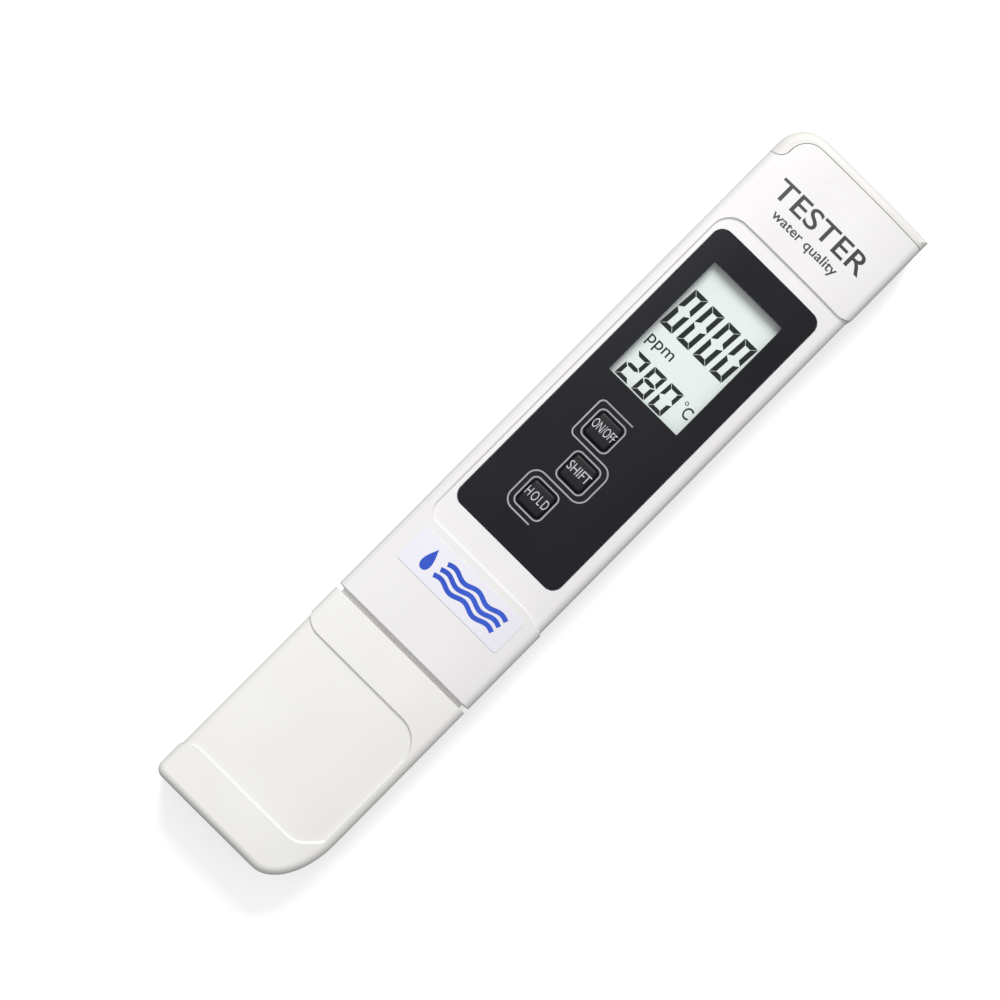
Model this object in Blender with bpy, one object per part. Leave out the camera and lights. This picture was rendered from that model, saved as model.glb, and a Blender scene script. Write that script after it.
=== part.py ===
"""Digital water tester: a flat pen meter with a pull-off cap, a battery drawer and three keys.

X is the width, Y runs from the cap end to the battery end, Z is the thickness with the display on top.
"""
import math

import bmesh
import bpy
from mathutils import Matrix, Vector

MM = 0.001

# Overall sizes
TOTAL_LENGTH = 154 * MM
WIDTH = 30 * MM
THICKNESS = 14 * MM
CAP_LENGTH = 42.5 * MM
CAP_GROOVE = 0.95 * MM
FRONT_COVER_DEPTH = 7 * MM

# Walls, edges and clearances
SIDE_WALL = 1.2 * MM
REAR_WALL = 1.4 * MM
FRONT_WALL = 1.8 * MM
CAP_END_WALL = 1.5 * MM
FRONT_EDGE = 1.5 * MM
REAR_EDGE = 2.4 * MM
FIT = 0.3 * MM
BOND = 0.1 * MM
SEAM_GAP = 0.2 * MM
LIP_SHELF = 2 * MM
LIP_STEP = 1 * MM
LIP_RISE = 1.2 * MM

# Outlines of case and cap
BATTERY_CORNER = 5.6 * MM
CAP_CORNER_X = 7.2 * MM
CAP_CORNER_Y = 12.0 * MM
CAP_SMALL_CORNER = 1.7 * MM
CAP_REAR_EDGE = 1.5 * MM     # under the small corner's radius, so that the rounding doesn't fold there

# Battery cover seam, measured from the battery end
COVER_DEPTH = 1.85 * MM
COVER_PLATE = 1.2 * MM
COVER_CORNER_DEPTH = 7.85 * MM
COVER_CORNER_WIDTH = 2.4 * MM
SEAM_OUTER_ARC = 3.7 * MM
SEAM_INNER_ARC = 2.0 * MM

# Shallow recess around the panel, open to the right
RECESS_DEPTH = 0.4 * MM
RECESS_SIDE_DEPTH = 0.3 * MM
RECESS_RAIL = 2.2 * MM
RECESS_TOP = 20.3 * MM
RECESS_LENGTH = 71.8 * MM
RECESS_TOP_ARC = 3.6 * MM
RECESS_BOTTOM_ARC = 2.4 * MM
RECESS_FLARE = 3.3 * MM

# Thumb recess on the cap, open to the left
THUMB_TOP = 8.0 * MM
THUMB_LENGTH = 26.6 * MM
THUMB_RAIL = 1.8 * MM
THUMB_ARC = 5.0 * MM
THUMB_CHAMFER = 3.3 * MM
THUMB_FLARE = 2.4 * MM

# Black control panel and its window
PANEL_WIDTH = 23.5 * MM
PANEL_LENGTH = 64.3 * MM
PANEL_THICKNESS = 0.75 * MM
PANEL_CORNER = 2.0 * MM
PANEL_TOP = 22.9 * MM
PANEL_OFFSET = -0.15 * MM
PANEL_GAP = 0.15 * MM
WINDOW_WIDTH = 15.9 * MM
WINDOW_LENGTH = 25.5 * MM
WINDOW_TOP = 28.2 * MM
WINDOW_OFFSET = -0.4 * MM
LENS_THICKNESS = 0.6 * MM
LENS_BORDER = 0.85 * MM

# Keys and their switches
KEY_WIDTH = 5.0 * MM
KEY_CORNER = 0.9 * MM
KEY_GAP = 0.2 * MM
KEY_PROUD = 0.4 * MM
KEY_FLANGE = 0.7 * MM
KEY_FLANGE_THICKNESS = 0.7 * MM
KEY_PITCH = 7.95 * MM
FIRST_KEY = 61.9 * MM
KEY_COLUMN = -1.6 * MM
KEY_STAGGER = 1.95 * MM
SWITCH_WIDTH = 4.6 * MM
SWITCH_HEIGHT = 1.6 * MM
PLUNGER_RADIUS = 1.0 * MM
PLUNGER_BORE = 1.15 * MM
PLUNGER_SUNK = 0.7 * MM

# Display stack
GLASS_THICKNESS = 1.8 * MM
GLASS_BORDER_X = 1.55 * MM
GLASS_BORDER_Y = 1.9 * MM
REFLECTOR_THICKNESS = 0.2 * MM
CONNECTOR_WIDTH = 1.6 * MM
CONNECTOR_HEIGHT = 1.0 * MM
HOLDER_WALL = 1.0 * MM
HOLDER_GAP = 0.2 * MM

# Circuit board and what it carries
BOARD_THICKNESS = 1.2 * MM
BOARD_END = 91.0 * MM
BOARD_TONGUE_WIDTH = 13.0 * MM
BLOB_RADIUS = 4.2 * MM
BLOB_HEIGHT = 1.3 * MM
CRYSTAL_RADIUS = 1.0 * MM
CRYSTAL_LENGTH = 6.2 * MM
CRYSTAL_X = 5 * MM
CRYSTAL_BELOW_WINDOW = 14 * MM
CAPACITOR_RADIUS = 2.0 * MM
CAPACITOR_LENGTH = 5.5 * MM
CAPACITOR_X = (-7 * MM, -1.5 * MM)
CAN_EDGE = 0.3 * MM
TRIMMER_WIDTH = 4.6 * MM
TRIMMER_HEIGHT = 2.3 * MM
TRIMMER_ROTOR_RADIUS = 1.5 * MM
TRIMMER_ROTOR_HEIGHT = 0.9 * MM
TRIMMER_STEM_RADIUS = 0.5 * MM
TRIMMER_STEM_LENGTH = 1.2 * MM
TRIMMER_HOLE_RADIUS = 1.75 * MM
TRIMMER_EDGE = 0.2 * MM
TRIMMER_SLOT_WIDTH = 0.5 * MM
TRIMMER_SLOT_DEPTH = 0.4 * MM
TRIMMER_X = 7.6 * MM
TRIMMER_FROM_TOP = 84.5 * MM

# Battery drawer
CELL_RADIUS = 5.8 * MM
CELL_THICKNESS = 5.4 * MM
CELL_SPACE = 0.9 * MM
CELL_BELOW_BOARD = 0.5 * MM
CELL_PROUD = 0.8 * MM
CELL_EDGE = 0.4 * MM
POCKET_GAP = 0.2 * MM
TRAY_LENGTH = 15.7 * MM
LINK_THICKNESS = 0.2 * MM
LINK_WIDTH = 4.0 * MM
CONTACT_THICKNESS = 0.25 * MM
CONTACT_WIDTH = 3.0 * MM
CONTACT_PAD = 5.5 * MM
CONTACT_TAIL = 4 * MM
CONTACT_LIFT = 0.9 * MM

# Case screws and their bosses
SCREW_RADIUS = 0.9 * MM
SCREW_HEAD_RADIUS = 1.9 * MM
SCREW_HEAD_HEIGHT = 1.2 * MM
SCREW_SEAT = 2.6 * MM
SCREW_LENGTH = 7.0 * MM
SCREW_HEAD_EDGE = 0.35 * MM
SCREW_POINT = 0.6 * MM
SCREW_CROSS_WIDTH = 0.4 * MM
PILOT_RADIUS = 1.05 * MM
HEAD_CLEARANCE = 0.25 * MM
FRONT_BOSS_RADIUS = 2.5 * MM
REAR_BOSS_RADIUS = 2.9 * MM
REAR_BOSS_TOP = 4.6 * MM
TOP_SCREW = 21.7 * MM
LOW_SCREW = 5.2 * MM

# Probe
PLUG_LENGTH = 10.5 * MM
NECK_LENGTH = 13.4 * MM
TIP_LENGTH = 15.0 * MM
TIP_WIDTH = 16.0 * MM
TIP_THICKNESS = 8.4 * MM
TIP_SLOT_WIDTH = 9.6 * MM
TIP_SLOT_DEPTH = 10.0 * MM
HOUSING_EDGE = 1.2 * MM
TIP_EDGE = 2.0 * MM
CHANNEL_WIDTH = 10.6 * MM
CHANNEL_HEIGHT = 5.2 * MM
CHANNEL_WALL = 1.0 * MM
PIN_RADIUS = 0.6 * MM
PIN_SPACING = 6.0 * MM
PIN_SHOWN = 8.6 * MM
PIN_TAIL = 1.8 * MM
PIN_EDGE = 0.4 * MM
SENSOR_RADIUS = 0.9 * MM
SENSOR_SHOWN = 1.2 * MM
SENSOR_EDGE = 0.7 * MM
LEAD_RADIUS = 0.4 * MM
LEAD_PAD_X = 3.4 * MM
LEAD_SAG = 0.3 * MM
LEAD_PAD_LENGTH = 3 * MM

# Front label
LABEL_WIDTH = 23.0 * MM
LABEL_LENGTH = 7.2 * MM
LABEL_THICKNESS = 0.12 * MM
LABEL_TOP = 93.8 * MM
LABEL_GAP = 0.05 * MM
LABEL_CORNER = 0.6 * MM

ARC_STEPS = 6
EDGE_STEPS = 3
REACH = 5 * MM          # how far a cutter runs past what it cuts
SINK = 0.4 * MM         # how far a boss runs into the wall that carries it

# Places worked out from the sizes above
TOP = TOTAL_LENGTH / 2
BOTTOM = -TOTAL_LENGTH / 2
HALF_WIDTH = WIDTH / 2
SPLIT_HEIGHT = THICKNESS - FRONT_COVER_DEPTH
CAP_MOUTH = BOTTOM + CAP_LENGTH
CASE_END = CAP_MOUTH + CAP_GROOVE
CAVITY_HALF = HALF_WIDTH - SIDE_WALL
CAVITY_FLOOR = REAR_WALL
CAVITY_CEILING = THICKNESS - FRONT_WALL
CAVITY_MIDDLE = (CAVITY_FLOOR + CAVITY_CEILING) / 2
SEAM_Y = TOP - COVER_DEPTH
CAVITY_TOP = TOP - COVER_PLATE
RECESS_FLOOR = THICKNESS - RECESS_DEPTH
PANEL_BOTTOM = RECESS_FLOOR - PANEL_THICKNESS
POCKET_FLOOR = PANEL_BOTTOM - BOND
PANEL_CENTRE = Vector((PANEL_OFFSET, TOP - PANEL_TOP - PANEL_LENGTH / 2))
WINDOW_CENTRE = Vector((WINDOW_OFFSET, TOP - WINDOW_TOP - WINDOW_LENGTH / 2))
LENS_TOP = PANEL_BOTTOM - BOND
LENS_BOTTOM = LENS_TOP - LENS_THICKNESS
GLASS_TOP = LENS_BOTTOM - FIT
GLASS_BOTTOM = GLASS_TOP - GLASS_THICKNESS
GLASS_SIZE = Vector((WINDOW_WIDTH + 2 * GLASS_BORDER_X, WINDOW_LENGTH + 2 * GLASS_BORDER_Y))
BOARD_TOP = GLASS_BOTTOM - CONNECTOR_HEIGHT - 2 * BOND
BOARD_BOTTOM = BOARD_TOP - BOARD_THICKNESS
TRAY_TOP_END = CAVITY_TOP - FIT
TRAY_LOW_END = TRAY_TOP_END - TRAY_LENGTH
CELL_TOP = BOARD_TOP - CELL_BELOW_BOARD
CELL_BOTTOM = CELL_TOP - CELL_THICKNESS
CELL_Y = (TRAY_TOP_END + TRAY_LOW_END) / 2
CELL_X = CELL_RADIUS + CELL_SPACE / 2
TIP_END = CASE_END - NECK_LENGTH - TIP_LENGTH
SLOT_ROOT = TIP_END + TIP_SLOT_DEPTH
CHANNEL_END = CASE_END - NECK_LENGTH + CHANNEL_WALL
TRIMMER_Y = TOP - TRIMMER_FROM_TOP

parts = bpy.data.collections.new("digital_water_tester")
cutters = bpy.data.collections.new("cutters")


def material(name, color, roughness, metallic=0.0, alpha=1.0):
    made = bpy.data.materials.new(name)
    made.use_nodes = True
    shader = made.node_tree.nodes["Principled BSDF"]
    shader.inputs["Base Color"].default_value = (*color, 1.0)
    shader.inputs["Roughness"].default_value = roughness
    shader.inputs["Metallic"].default_value = metallic
    shader.inputs["Alpha"].default_value = alpha
    made.diffuse_color = (*color, alpha)
    return made


# Outlines

def fillet(before, after, radius, steps):
    """Points of the arc that rounds a corner at the origin between two directions."""
    u = before.normalized()
    v = after.normalized()
    half = u.angle(v) / 2
    tangent = radius / math.tan(half)
    centre = (u + v).normalized() * radius / math.sin(half)
    spoke = u * tangent - centre
    last = v * tangent - centre
    turn = math.copysign(math.pi - 2 * half, spoke.x * last.y - spoke.y * last.x)
    return [centre + Matrix.Rotation(turn * i / steps, 2) @ spoke for i in range(steps + 1)]


def rounded(corners, steps=ARC_STEPS):
    """Closed outline. A corner is (x, y), (x, y, radius) or, square to the axes, (x, y, radius_x, radius_y)."""
    outline = []
    for index, corner in enumerate(corners):
        here = Vector(corner[:2])
        if len(corner) == 2:
            outline.append(here)
            continue
        squeeze = corner[2] / corner[-1]
        scale = Vector((1.0, squeeze))
        before = (Vector(corners[index - 1][:2]) - here) * scale
        after = (Vector(corners[(index + 1) % len(corners)][:2]) - here) * scale
        for point in fillet(before, after, corner[2], steps):
            outline.append(here + Vector((point.x, point.y / squeeze)))
    return outline


def rectangle(centre, width, length, corner=0.0):
    x, y = width / 2, length / 2
    signs = [(-1, -1), (1, -1), (1, 1), (-1, 1)]
    if corner == 0.0:
        return [Vector((centre[0] + sx * x, centre[1] + sy * y)) for sx, sy in signs]
    return rounded([(centre[0] + sx * x, centre[1] + sy * y, corner) for sx, sy in signs], 4)


def case_outline(right_inset=0.0):
    right = HALF_WIDTH - right_inset
    return rounded([
        (-HALF_WIDTH, CASE_END),
        (right, CASE_END),
        (right, TOP),
        (-HALF_WIDTH, TOP, BATTERY_CORNER),
    ], 8)


def cap_outline(inset=0.0, end_inset=0.0, left_inset=0.0, mouth=CAP_MOUTH):
    right = HALF_WIDTH - inset
    return rounded([
        (-HALF_WIDTH + inset + left_inset, mouth),
        (-HALF_WIDTH + inset + left_inset, BOTTOM + end_inset, CAP_SMALL_CORNER),
        (right, BOTTOM + end_inset, CAP_CORNER_X - inset, CAP_CORNER_Y - end_inset),
        (right, mouth),
    ], 8)


def above_seam(inset):
    """Everything on the battery side of the seam, lowered by inset on every face."""
    seam_x = -HALF_WIDTH + COVER_CORNER_WIDTH + inset
    top = SEAM_Y - inset
    low = TOP - COVER_CORNER_DEPTH - inset
    return rounded([
        (HALF_WIDTH + REACH, top),
        (HALF_WIDTH + REACH, TOP + REACH),
        (-HALF_WIDTH - REACH, TOP + REACH),
        (-HALF_WIDTH - REACH, low),
        (seam_x, low, SEAM_INNER_ARC + inset),
        (seam_x, top, SEAM_OUTER_ARC - inset),
    ])


def panel_recess_outline():
    left = -HALF_WIDTH + RECESS_RAIL
    flare_x = HALF_WIDTH + RECESS_SIDE_DEPTH + BOND
    top = TOP - RECESS_TOP
    low = top - RECESS_LENGTH
    return rounded([
        (flare_x, top + 2 * RECESS_FLARE),
        (flare_x, top, RECESS_FLARE),
        (left, top, RECESS_TOP_ARC),
        (left, low, RECESS_BOTTOM_ARC),
        (HALF_WIDTH - RECESS_TOP_ARC, low, 3 * RECESS_FLARE),
        (HALF_WIDTH + REACH, low - RECESS_FLARE),
        (HALF_WIDTH + REACH, top + 2 * RECESS_FLARE),
    ])


def thumb_recess_outline():
    right = HALF_WIDTH - THUMB_RAIL
    flare_x = -HALF_WIDTH - RECESS_SIDE_DEPTH - BOND
    top = CAP_MOUTH - THUMB_TOP
    low = top - THUMB_LENGTH
    return rounded([
        (flare_x, top + 2 * THUMB_FLARE),
        (-HALF_WIDTH - REACH, top + 2 * THUMB_FLARE),
        (-HALF_WIDTH - REACH, low - 2 * THUMB_FLARE),
        (flare_x, low - 2 * THUMB_FLARE),
        (flare_x, low, THUMB_FLARE),
        (right - THUMB_CHAMFER, low, THUMB_FLARE),
        (right, low + THUMB_CHAMFER, BOND),
        (right, top, THUMB_ARC),
        (flare_x, top, THUMB_FLARE),
    ])


# Solids

def new_object(name, mesh, collection):
    made = bpy.data.objects.new(name, mesh)
    collection.objects.link(made)
    if collection is cutters:
        made.hide_render = True
        made.display_type = "WIRE"
    return made


def slab(name, outline, low, high, collection=cutters, turn=None):
    """A flat outline with a thickness from low to high, optionally turned out of the XY plane."""
    curve = bpy.data.curves.new(name, "CURVE")
    curve.dimensions = "2D"
    curve.fill_mode = "BOTH"
    curve.extrude = (high - low) / 2
    spline = curve.splines.new("POLY")
    spline.points.add(len(outline) - 1)
    for point, place in zip(spline.points, outline):
        point.co = (place[0], place[1], 0.0, 1.0)
    spline.use_cyclic_u = True
    holder = bpy.data.objects.new(name + "_outline", curve)
    cutters.objects.link(holder)
    evaluated = holder.evaluated_get(bpy.context.evaluated_depsgraph_get())
    mesh = bpy.data.meshes.new_from_object(evaluated)
    bpy.data.objects.remove(holder)
    shape = bmesh.new()
    shape.from_mesh(mesh)
    bmesh.ops.remove_doubles(shape, verts=shape.verts, dist=0.000001)
    bmesh.ops.dissolve_limit(shape, angle_limit=math.radians(0.5), verts=shape.verts, edges=shape.edges)
    bmesh.ops.translate(shape, verts=shape.verts, vec=(0.0, 0.0, (low + high) / 2))
    if turn is not None:
        bmesh.ops.transform(shape, matrix=turn, verts=shape.verts)
    bmesh.ops.recalc_face_normals(shape, faces=shape.faces)
    shape.to_mesh(mesh)
    shape.free()
    mesh.name = name
    return new_object(name, mesh, collection)


def box(name, low, high, collection=cutters, edge=0.0, axis=None):
    """A box between two corners. With edge, the edges along axis are rounded."""
    low, high = Vector(low), Vector(high)
    shape = bmesh.new()
    bmesh.ops.create_cube(shape, size=1.0)
    bmesh.ops.scale(shape, verts=shape.verts, vec=high - low)
    bmesh.ops.translate(shape, verts=shape.verts, vec=(low + high) / 2)
    if edge > 0.0:
        chosen = [e for e in shape.edges if abs((e.verts[0].co - e.verts[1].co)[axis]) > edge]
        bmesh.ops.bevel(shape, geom=chosen, offset=edge, segments=EDGE_STEPS, profile=0.5,
                        affect="EDGES", material=-1)
    mesh = bpy.data.meshes.new(name)
    shape.to_mesh(mesh)
    shape.free()
    return new_object(name, mesh, collection)


def rod(name, start, end, radius, collection=cutters, sides=20, tip=0.0):
    """A cylinder between two points. With tip, its far end is rounded."""
    start, end = Vector(start), Vector(end)
    along = end - start
    shape = bmesh.new()
    bmesh.ops.create_cone(shape, cap_ends=True, segments=sides, radius1=radius, radius2=radius,
                          depth=along.length)
    if tip > 0.0:
        far = [e for e in shape.edges if all(v.co.z > 0 for v in e.verts)]
        bmesh.ops.bevel(shape, geom=far, offset=tip, segments=EDGE_STEPS, profile=0.5,
                        affect="EDGES", material=-1)
    turn = Vector((0, 0, 1)).rotation_difference(along).to_matrix().to_4x4()
    matrix = Matrix.Translation((start + end) / 2) @ turn
    bmesh.ops.transform(shape, matrix=matrix, verts=shape.verts)
    mesh = bpy.data.meshes.new(name)
    shape.to_mesh(mesh)
    shape.free()
    made = new_object(name, mesh, collection)
    made.data.shade_smooth()
    made.data.set_sharp_from_angle(angle=math.radians(35))
    return made


def pen_solid(name, outline, low, high, collection, front_edge=0.0, rear_edge=0.0, square_end=None):
    """An outline with rounded front and rear edges. The edge lying at y = square_end stays square."""
    made = slab(name, outline, low, high, collection)
    shape = bmesh.new()
    shape.from_mesh(made.data)
    for level, width in ((high, front_edge), (low, rear_edge)):
        if width == 0.0:
            continue
        chosen = []
        for edge in shape.edges:
            flat = all(abs(v.co.z - level) < 1e-6 for v in edge.verts)
            kept = square_end is not None and all(abs(v.co.y - square_end) < 1e-6 for v in edge.verts)
            if flat and not kept:
                chosen.append(edge)
        bmesh.ops.bevel(shape, geom=chosen, offset=width, segments=EDGE_STEPS, profile=0.5,
                        affect="EDGES", material=-1)
    shape.to_mesh(made.data)
    shape.free()
    return made


def combine(target, other, operation):
    modifier = target.modifiers.new(other.name, "BOOLEAN")
    modifier.operation = operation
    modifier.solver = "EXACT"
    modifier.object = other


def cut(target, *tools):
    for tool in tools:
        combine(target, tool, "DIFFERENCE")


def join(target, *pieces):
    for piece in pieces:
        combine(target, piece, "UNION")


def finish(piece, look):
    piece.data.materials.clear()
    piece.data.materials.append(look)
    return piece


def joint_empty(name, place, members):
    """An empty on the joint, which its moving pieces hang from."""
    empty = bpy.data.objects.new(name, None)
    empty.empty_display_size = 3 * MM
    empty.location = place
    parts.objects.link(empty)
    for member in members:
        member.parent = empty
        member.location = -Vector(place)


# Shared cutters

def step_cutter(name, outline, core):
    """A recess that follows the front face round onto the side: its outline, less the lowered core."""
    made = slab(name, outline, -REACH, THICKNESS + REACH)
    cut(made, core)
    return made


def cavity_cutter():
    corner = BATTERY_CORNER - SIDE_WALL
    outline = rounded([
        (-CAVITY_HALF, CASE_END - REACH),
        (CAVITY_HALF, CASE_END - REACH),
        (CAVITY_HALF, CAVITY_TOP),
        (-CAVITY_HALF, CAVITY_TOP, corner),
    ], 5)
    return slab("cavity", outline, CAVITY_FLOOR, CAVITY_CEILING)


def screw_places():
    high_x = CAVITY_HALF - REAR_BOSS_RADIUS - FIT
    low_x = high_x - 2 * POCKET_GAP - FIT - FIT
    high_y = TOP - TOP_SCREW
    low_y = CASE_END + LOW_SCREW
    return [(-high_x, high_y), (high_x, high_y), (-low_x, low_y), (low_x, low_y)]


def key_places():
    first = TOP - FIRST_KEY
    return {
        "on_off": (KEY_COLUMN, first),
        "shift": (KEY_COLUMN + KEY_STAGGER, first - KEY_PITCH),
        "hold": (KEY_COLUMN, first - 2 * KEY_PITCH),
    }


# Case

def front_cover(cavity, step, seam):
    cover = pen_solid("front_cover", case_outline(), SPLIT_HEIGHT, THICKNESS, parts, FRONT_EDGE,
                      square_end=CASE_END)
    cut(cover, step, cavity, seam)
    for number, (x, y) in enumerate(screw_places(), 1):
        boss_low = REAR_BOSS_TOP + FIT
        boss = rod(f"front_boss_{number}", (x, y, boss_low), (x, y, CAVITY_CEILING + SINK), FRONT_BOSS_RADIUS)
        pilot_top = SCREW_SEAT + SCREW_LENGTH + FIT
        pilot = rod(f"pilot_{number}", (x, y, boss_low - SINK), (x, y, pilot_top), PILOT_RADIUS, sides=12)
        join(cover, boss)
        cut(cover, pilot)
    pocket = rectangle(PANEL_CENTRE, PANEL_WIDTH + 2 * PANEL_GAP, PANEL_LENGTH + 2 * PANEL_GAP,
                       PANEL_CORNER + PANEL_GAP)
    cut(cover, slab("panel_pocket", pocket, POCKET_FLOOR, THICKNESS + REACH))
    lens_hole = rectangle(WINDOW_CENTRE, WINDOW_WIDTH + 2 * LENS_BORDER + 2 * POCKET_GAP,
                          WINDOW_LENGTH + 2 * LENS_BORDER + 2 * POCKET_GAP)
    cut(cover, slab("lens_hole", lens_hole, CAVITY_CEILING - SINK, THICKNESS + REACH))
    for name, place in key_places().items():
        width = KEY_WIDTH + 4 * KEY_GAP
        hole = rectangle(place, width, width, KEY_CORNER)
        cut(cover, slab("case_hole_" + name, hole, CAVITY_CEILING - SINK, THICKNESS + REACH))
    return cover


def rear_lip(side):
    """A rail along one side of the rear cover that stands inside the front cover's wall."""
    inner = CAVITY_HALF - 3 * FIT
    profile = [
        (inner, SPLIT_HEIGHT - LIP_SHELF),
        (CAVITY_HALF + SINK, SPLIT_HEIGHT - LIP_SHELF),
        (CAVITY_HALF + SINK, SPLIT_HEIGHT - LIP_STEP),
        (CAVITY_HALF - FIT, SPLIT_HEIGHT - LIP_STEP),
        (CAVITY_HALF - FIT, SPLIT_HEIGHT + LIP_RISE),
        (inner, SPLIT_HEIGHT + LIP_RISE),
    ]
    outline = [Vector((side * x, z)) for x, z in profile]
    low = CASE_END + PLUG_LENGTH + 2 * FIT
    high = TOP - TOP_SCREW - REAR_BOSS_RADIUS - 2 * FIT
    upright = Matrix(((1, 0, 0, 0), (0, 0, 1, 0), (0, 1, 0, 0), (0, 0, 0, 1)))
    return slab(f"rear_lip_{'left' if side < 0 else 'right'}", outline, low, high, turn=upright)


def rear_cover(cavity, step, seam):
    cover = pen_solid("rear_cover", case_outline(), 0.0, SPLIT_HEIGHT - SEAM_GAP, parts,
                      rear_edge=REAR_EDGE, square_end=CASE_END)
    cut(cover, step, cavity, seam)
    join(cover, rear_lip(-1), rear_lip(1))
    for number, (x, y) in enumerate(screw_places(), 1):
        boss = rod(f"rear_boss_{number}", (x, y, CAVITY_FLOOR - SINK), (x, y, REAR_BOSS_TOP),
                   REAR_BOSS_RADIUS)
        head = rod(f"head_hole_{number}", (x, y, -REACH), (x, y, SCREW_SEAT),
                   SCREW_HEAD_RADIUS + HEAD_CLEARANCE)
        hole = rod(f"shank_hole_{number}", (x, y, 0.0), (x, y, REAR_BOSS_TOP + SINK),
                   SCREW_RADIUS + HEAD_CLEARANCE, sides=12)
        join(cover, boss)
        cut(cover, head, hole)
    reach = rod("trimmer_hole", (TRIMMER_X, TRIMMER_Y, -REACH), (TRIMMER_X, TRIMMER_Y, CAVITY_FLOOR + SINK),
                TRIMMER_HOLE_RADIUS)
    cut(cover, reach)
    return cover


def case_screw(number, place):
    x, y = place
    head_low = SCREW_SEAT - BOND - SCREW_HEAD_HEIGHT
    screw = rod(f"case_screw_{number}", (x, y, head_low + SCREW_HEAD_HEIGHT), (x, y, head_low),
                SCREW_HEAD_RADIUS, parts, tip=SCREW_HEAD_EDGE)
    shank_low = head_low + SCREW_HEAD_HEIGHT / 2
    join(screw, rod(f"shank_{number}", (x, y, shank_low), (x, y, SCREW_SEAT + SCREW_LENGTH), SCREW_RADIUS,
                    sides=12, tip=SCREW_POINT))
    arm, half = SCREW_HEAD_RADIUS * 0.62, SCREW_CROSS_WIDTH / 2
    deep = head_low + SCREW_HEAD_HEIGHT / 2.5
    cut(screw, box(f"slot_{number}_a", (x - arm, y - half, 0), (x + arm, y + half, deep)))
    cut(screw, box(f"slot_{number}_b", (x - half, y - arm, 0), (x + half, y + arm, deep)))
    return screw


def protective_cap():
    cap = pen_solid("protective_cap", cap_outline(), 0.0, THICKNESS, parts, FRONT_EDGE, CAP_REAR_EDGE,
                    square_end=CAP_MOUTH)
    core = pen_solid("cap_core", cap_outline(left_inset=RECESS_SIDE_DEPTH), -2 * REACH, RECESS_FLOOR, cutters,
                     FRONT_EDGE, square_end=CAP_MOUTH)
    cut(cap, step_cutter("thumb_recess", thumb_recess_outline(), core))
    hollow = cap_outline(SIDE_WALL, CAP_END_WALL, mouth=CAP_MOUTH + REACH)
    cut(cap, slab("cap_hollow", hollow, CAVITY_FLOOR, CAVITY_CEILING))
    return cap


# Panel, window and display

def control_panel():
    outline = rectangle(PANEL_CENTRE, PANEL_WIDTH, PANEL_LENGTH, PANEL_CORNER)
    panel = slab("control_panel", outline, PANEL_BOTTOM, RECESS_FLOOR, parts)
    window = rectangle(WINDOW_CENTRE, WINDOW_WIDTH, WINDOW_LENGTH)
    cut(panel, slab("window_hole", window, 0.0, THICKNESS + REACH))
    for name, place in key_places().items():
        width = KEY_WIDTH + 2 * KEY_GAP
        hole = rectangle(place, width, width, KEY_CORNER)
        cut(panel, slab("panel_hole_" + name, hole, 0.0, THICKNESS + REACH))
    return panel


def centred_plate(name, centre, width, length, low, high):
    x, y = width / 2, length / 2
    return box(name, (centre[0] - x, centre[1] - y, low), (centre[0] + x, centre[1] + y, high), parts)


def display_stack(looks):
    lens = centred_plate("display_window", WINDOW_CENTRE, WINDOW_WIDTH + 2 * LENS_BORDER,
                         WINDOW_LENGTH + 2 * LENS_BORDER, LENS_BOTTOM, LENS_TOP)
    glass = centred_plate("lcd_glass", WINDOW_CENTRE, *GLASS_SIZE, GLASS_BOTTOM, GLASS_TOP)
    inner_length = WINDOW_LENGTH - 2 * BOND
    reflector = centred_plate("lcd_reflector", WINDOW_CENTRE, GLASS_SIZE.x - 2 * BOND, inner_length,
                              GLASS_BOTTOM - BOND - REFLECTOR_THICKNESS, GLASS_BOTTOM - BOND)
    holder = centred_plate("lcd_holder", WINDOW_CENTRE, GLASS_SIZE.x + 2 * (HOLDER_GAP + HOLDER_WALL),
                           GLASS_SIZE.y + 2 * (HOLDER_GAP + HOLDER_WALL), BOARD_TOP + BOND, GLASS_TOP)
    hole = rectangle(WINDOW_CENTRE, GLASS_SIZE.x + 2 * HOLDER_GAP, GLASS_SIZE.y + 2 * HOLDER_GAP)
    cut(holder, slab("holder_hole", hole, 0.0, THICKNESS))
    finish(lens, looks["clear"])
    finish(glass, looks["glass"])
    finish(reflector, looks["film"])
    finish(holder, looks["holder"])
    for name, side in (("upper", 1), ("lower", -1)):
        y = WINDOW_CENTRE.y + side * (GLASS_SIZE.y / 2 - CONNECTOR_WIDTH / 2 - BOND)
        strip = centred_plate(f"connector_strip_{name}", (WINDOW_CENTRE.x, y), GLASS_SIZE.x - 2 * BOND,
                              CONNECTOR_WIDTH, BOARD_TOP + BOND, BOARD_TOP + BOND + CONNECTOR_HEIGHT)
        finish(strip, looks["rubber"])


# Keys and switches

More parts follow.
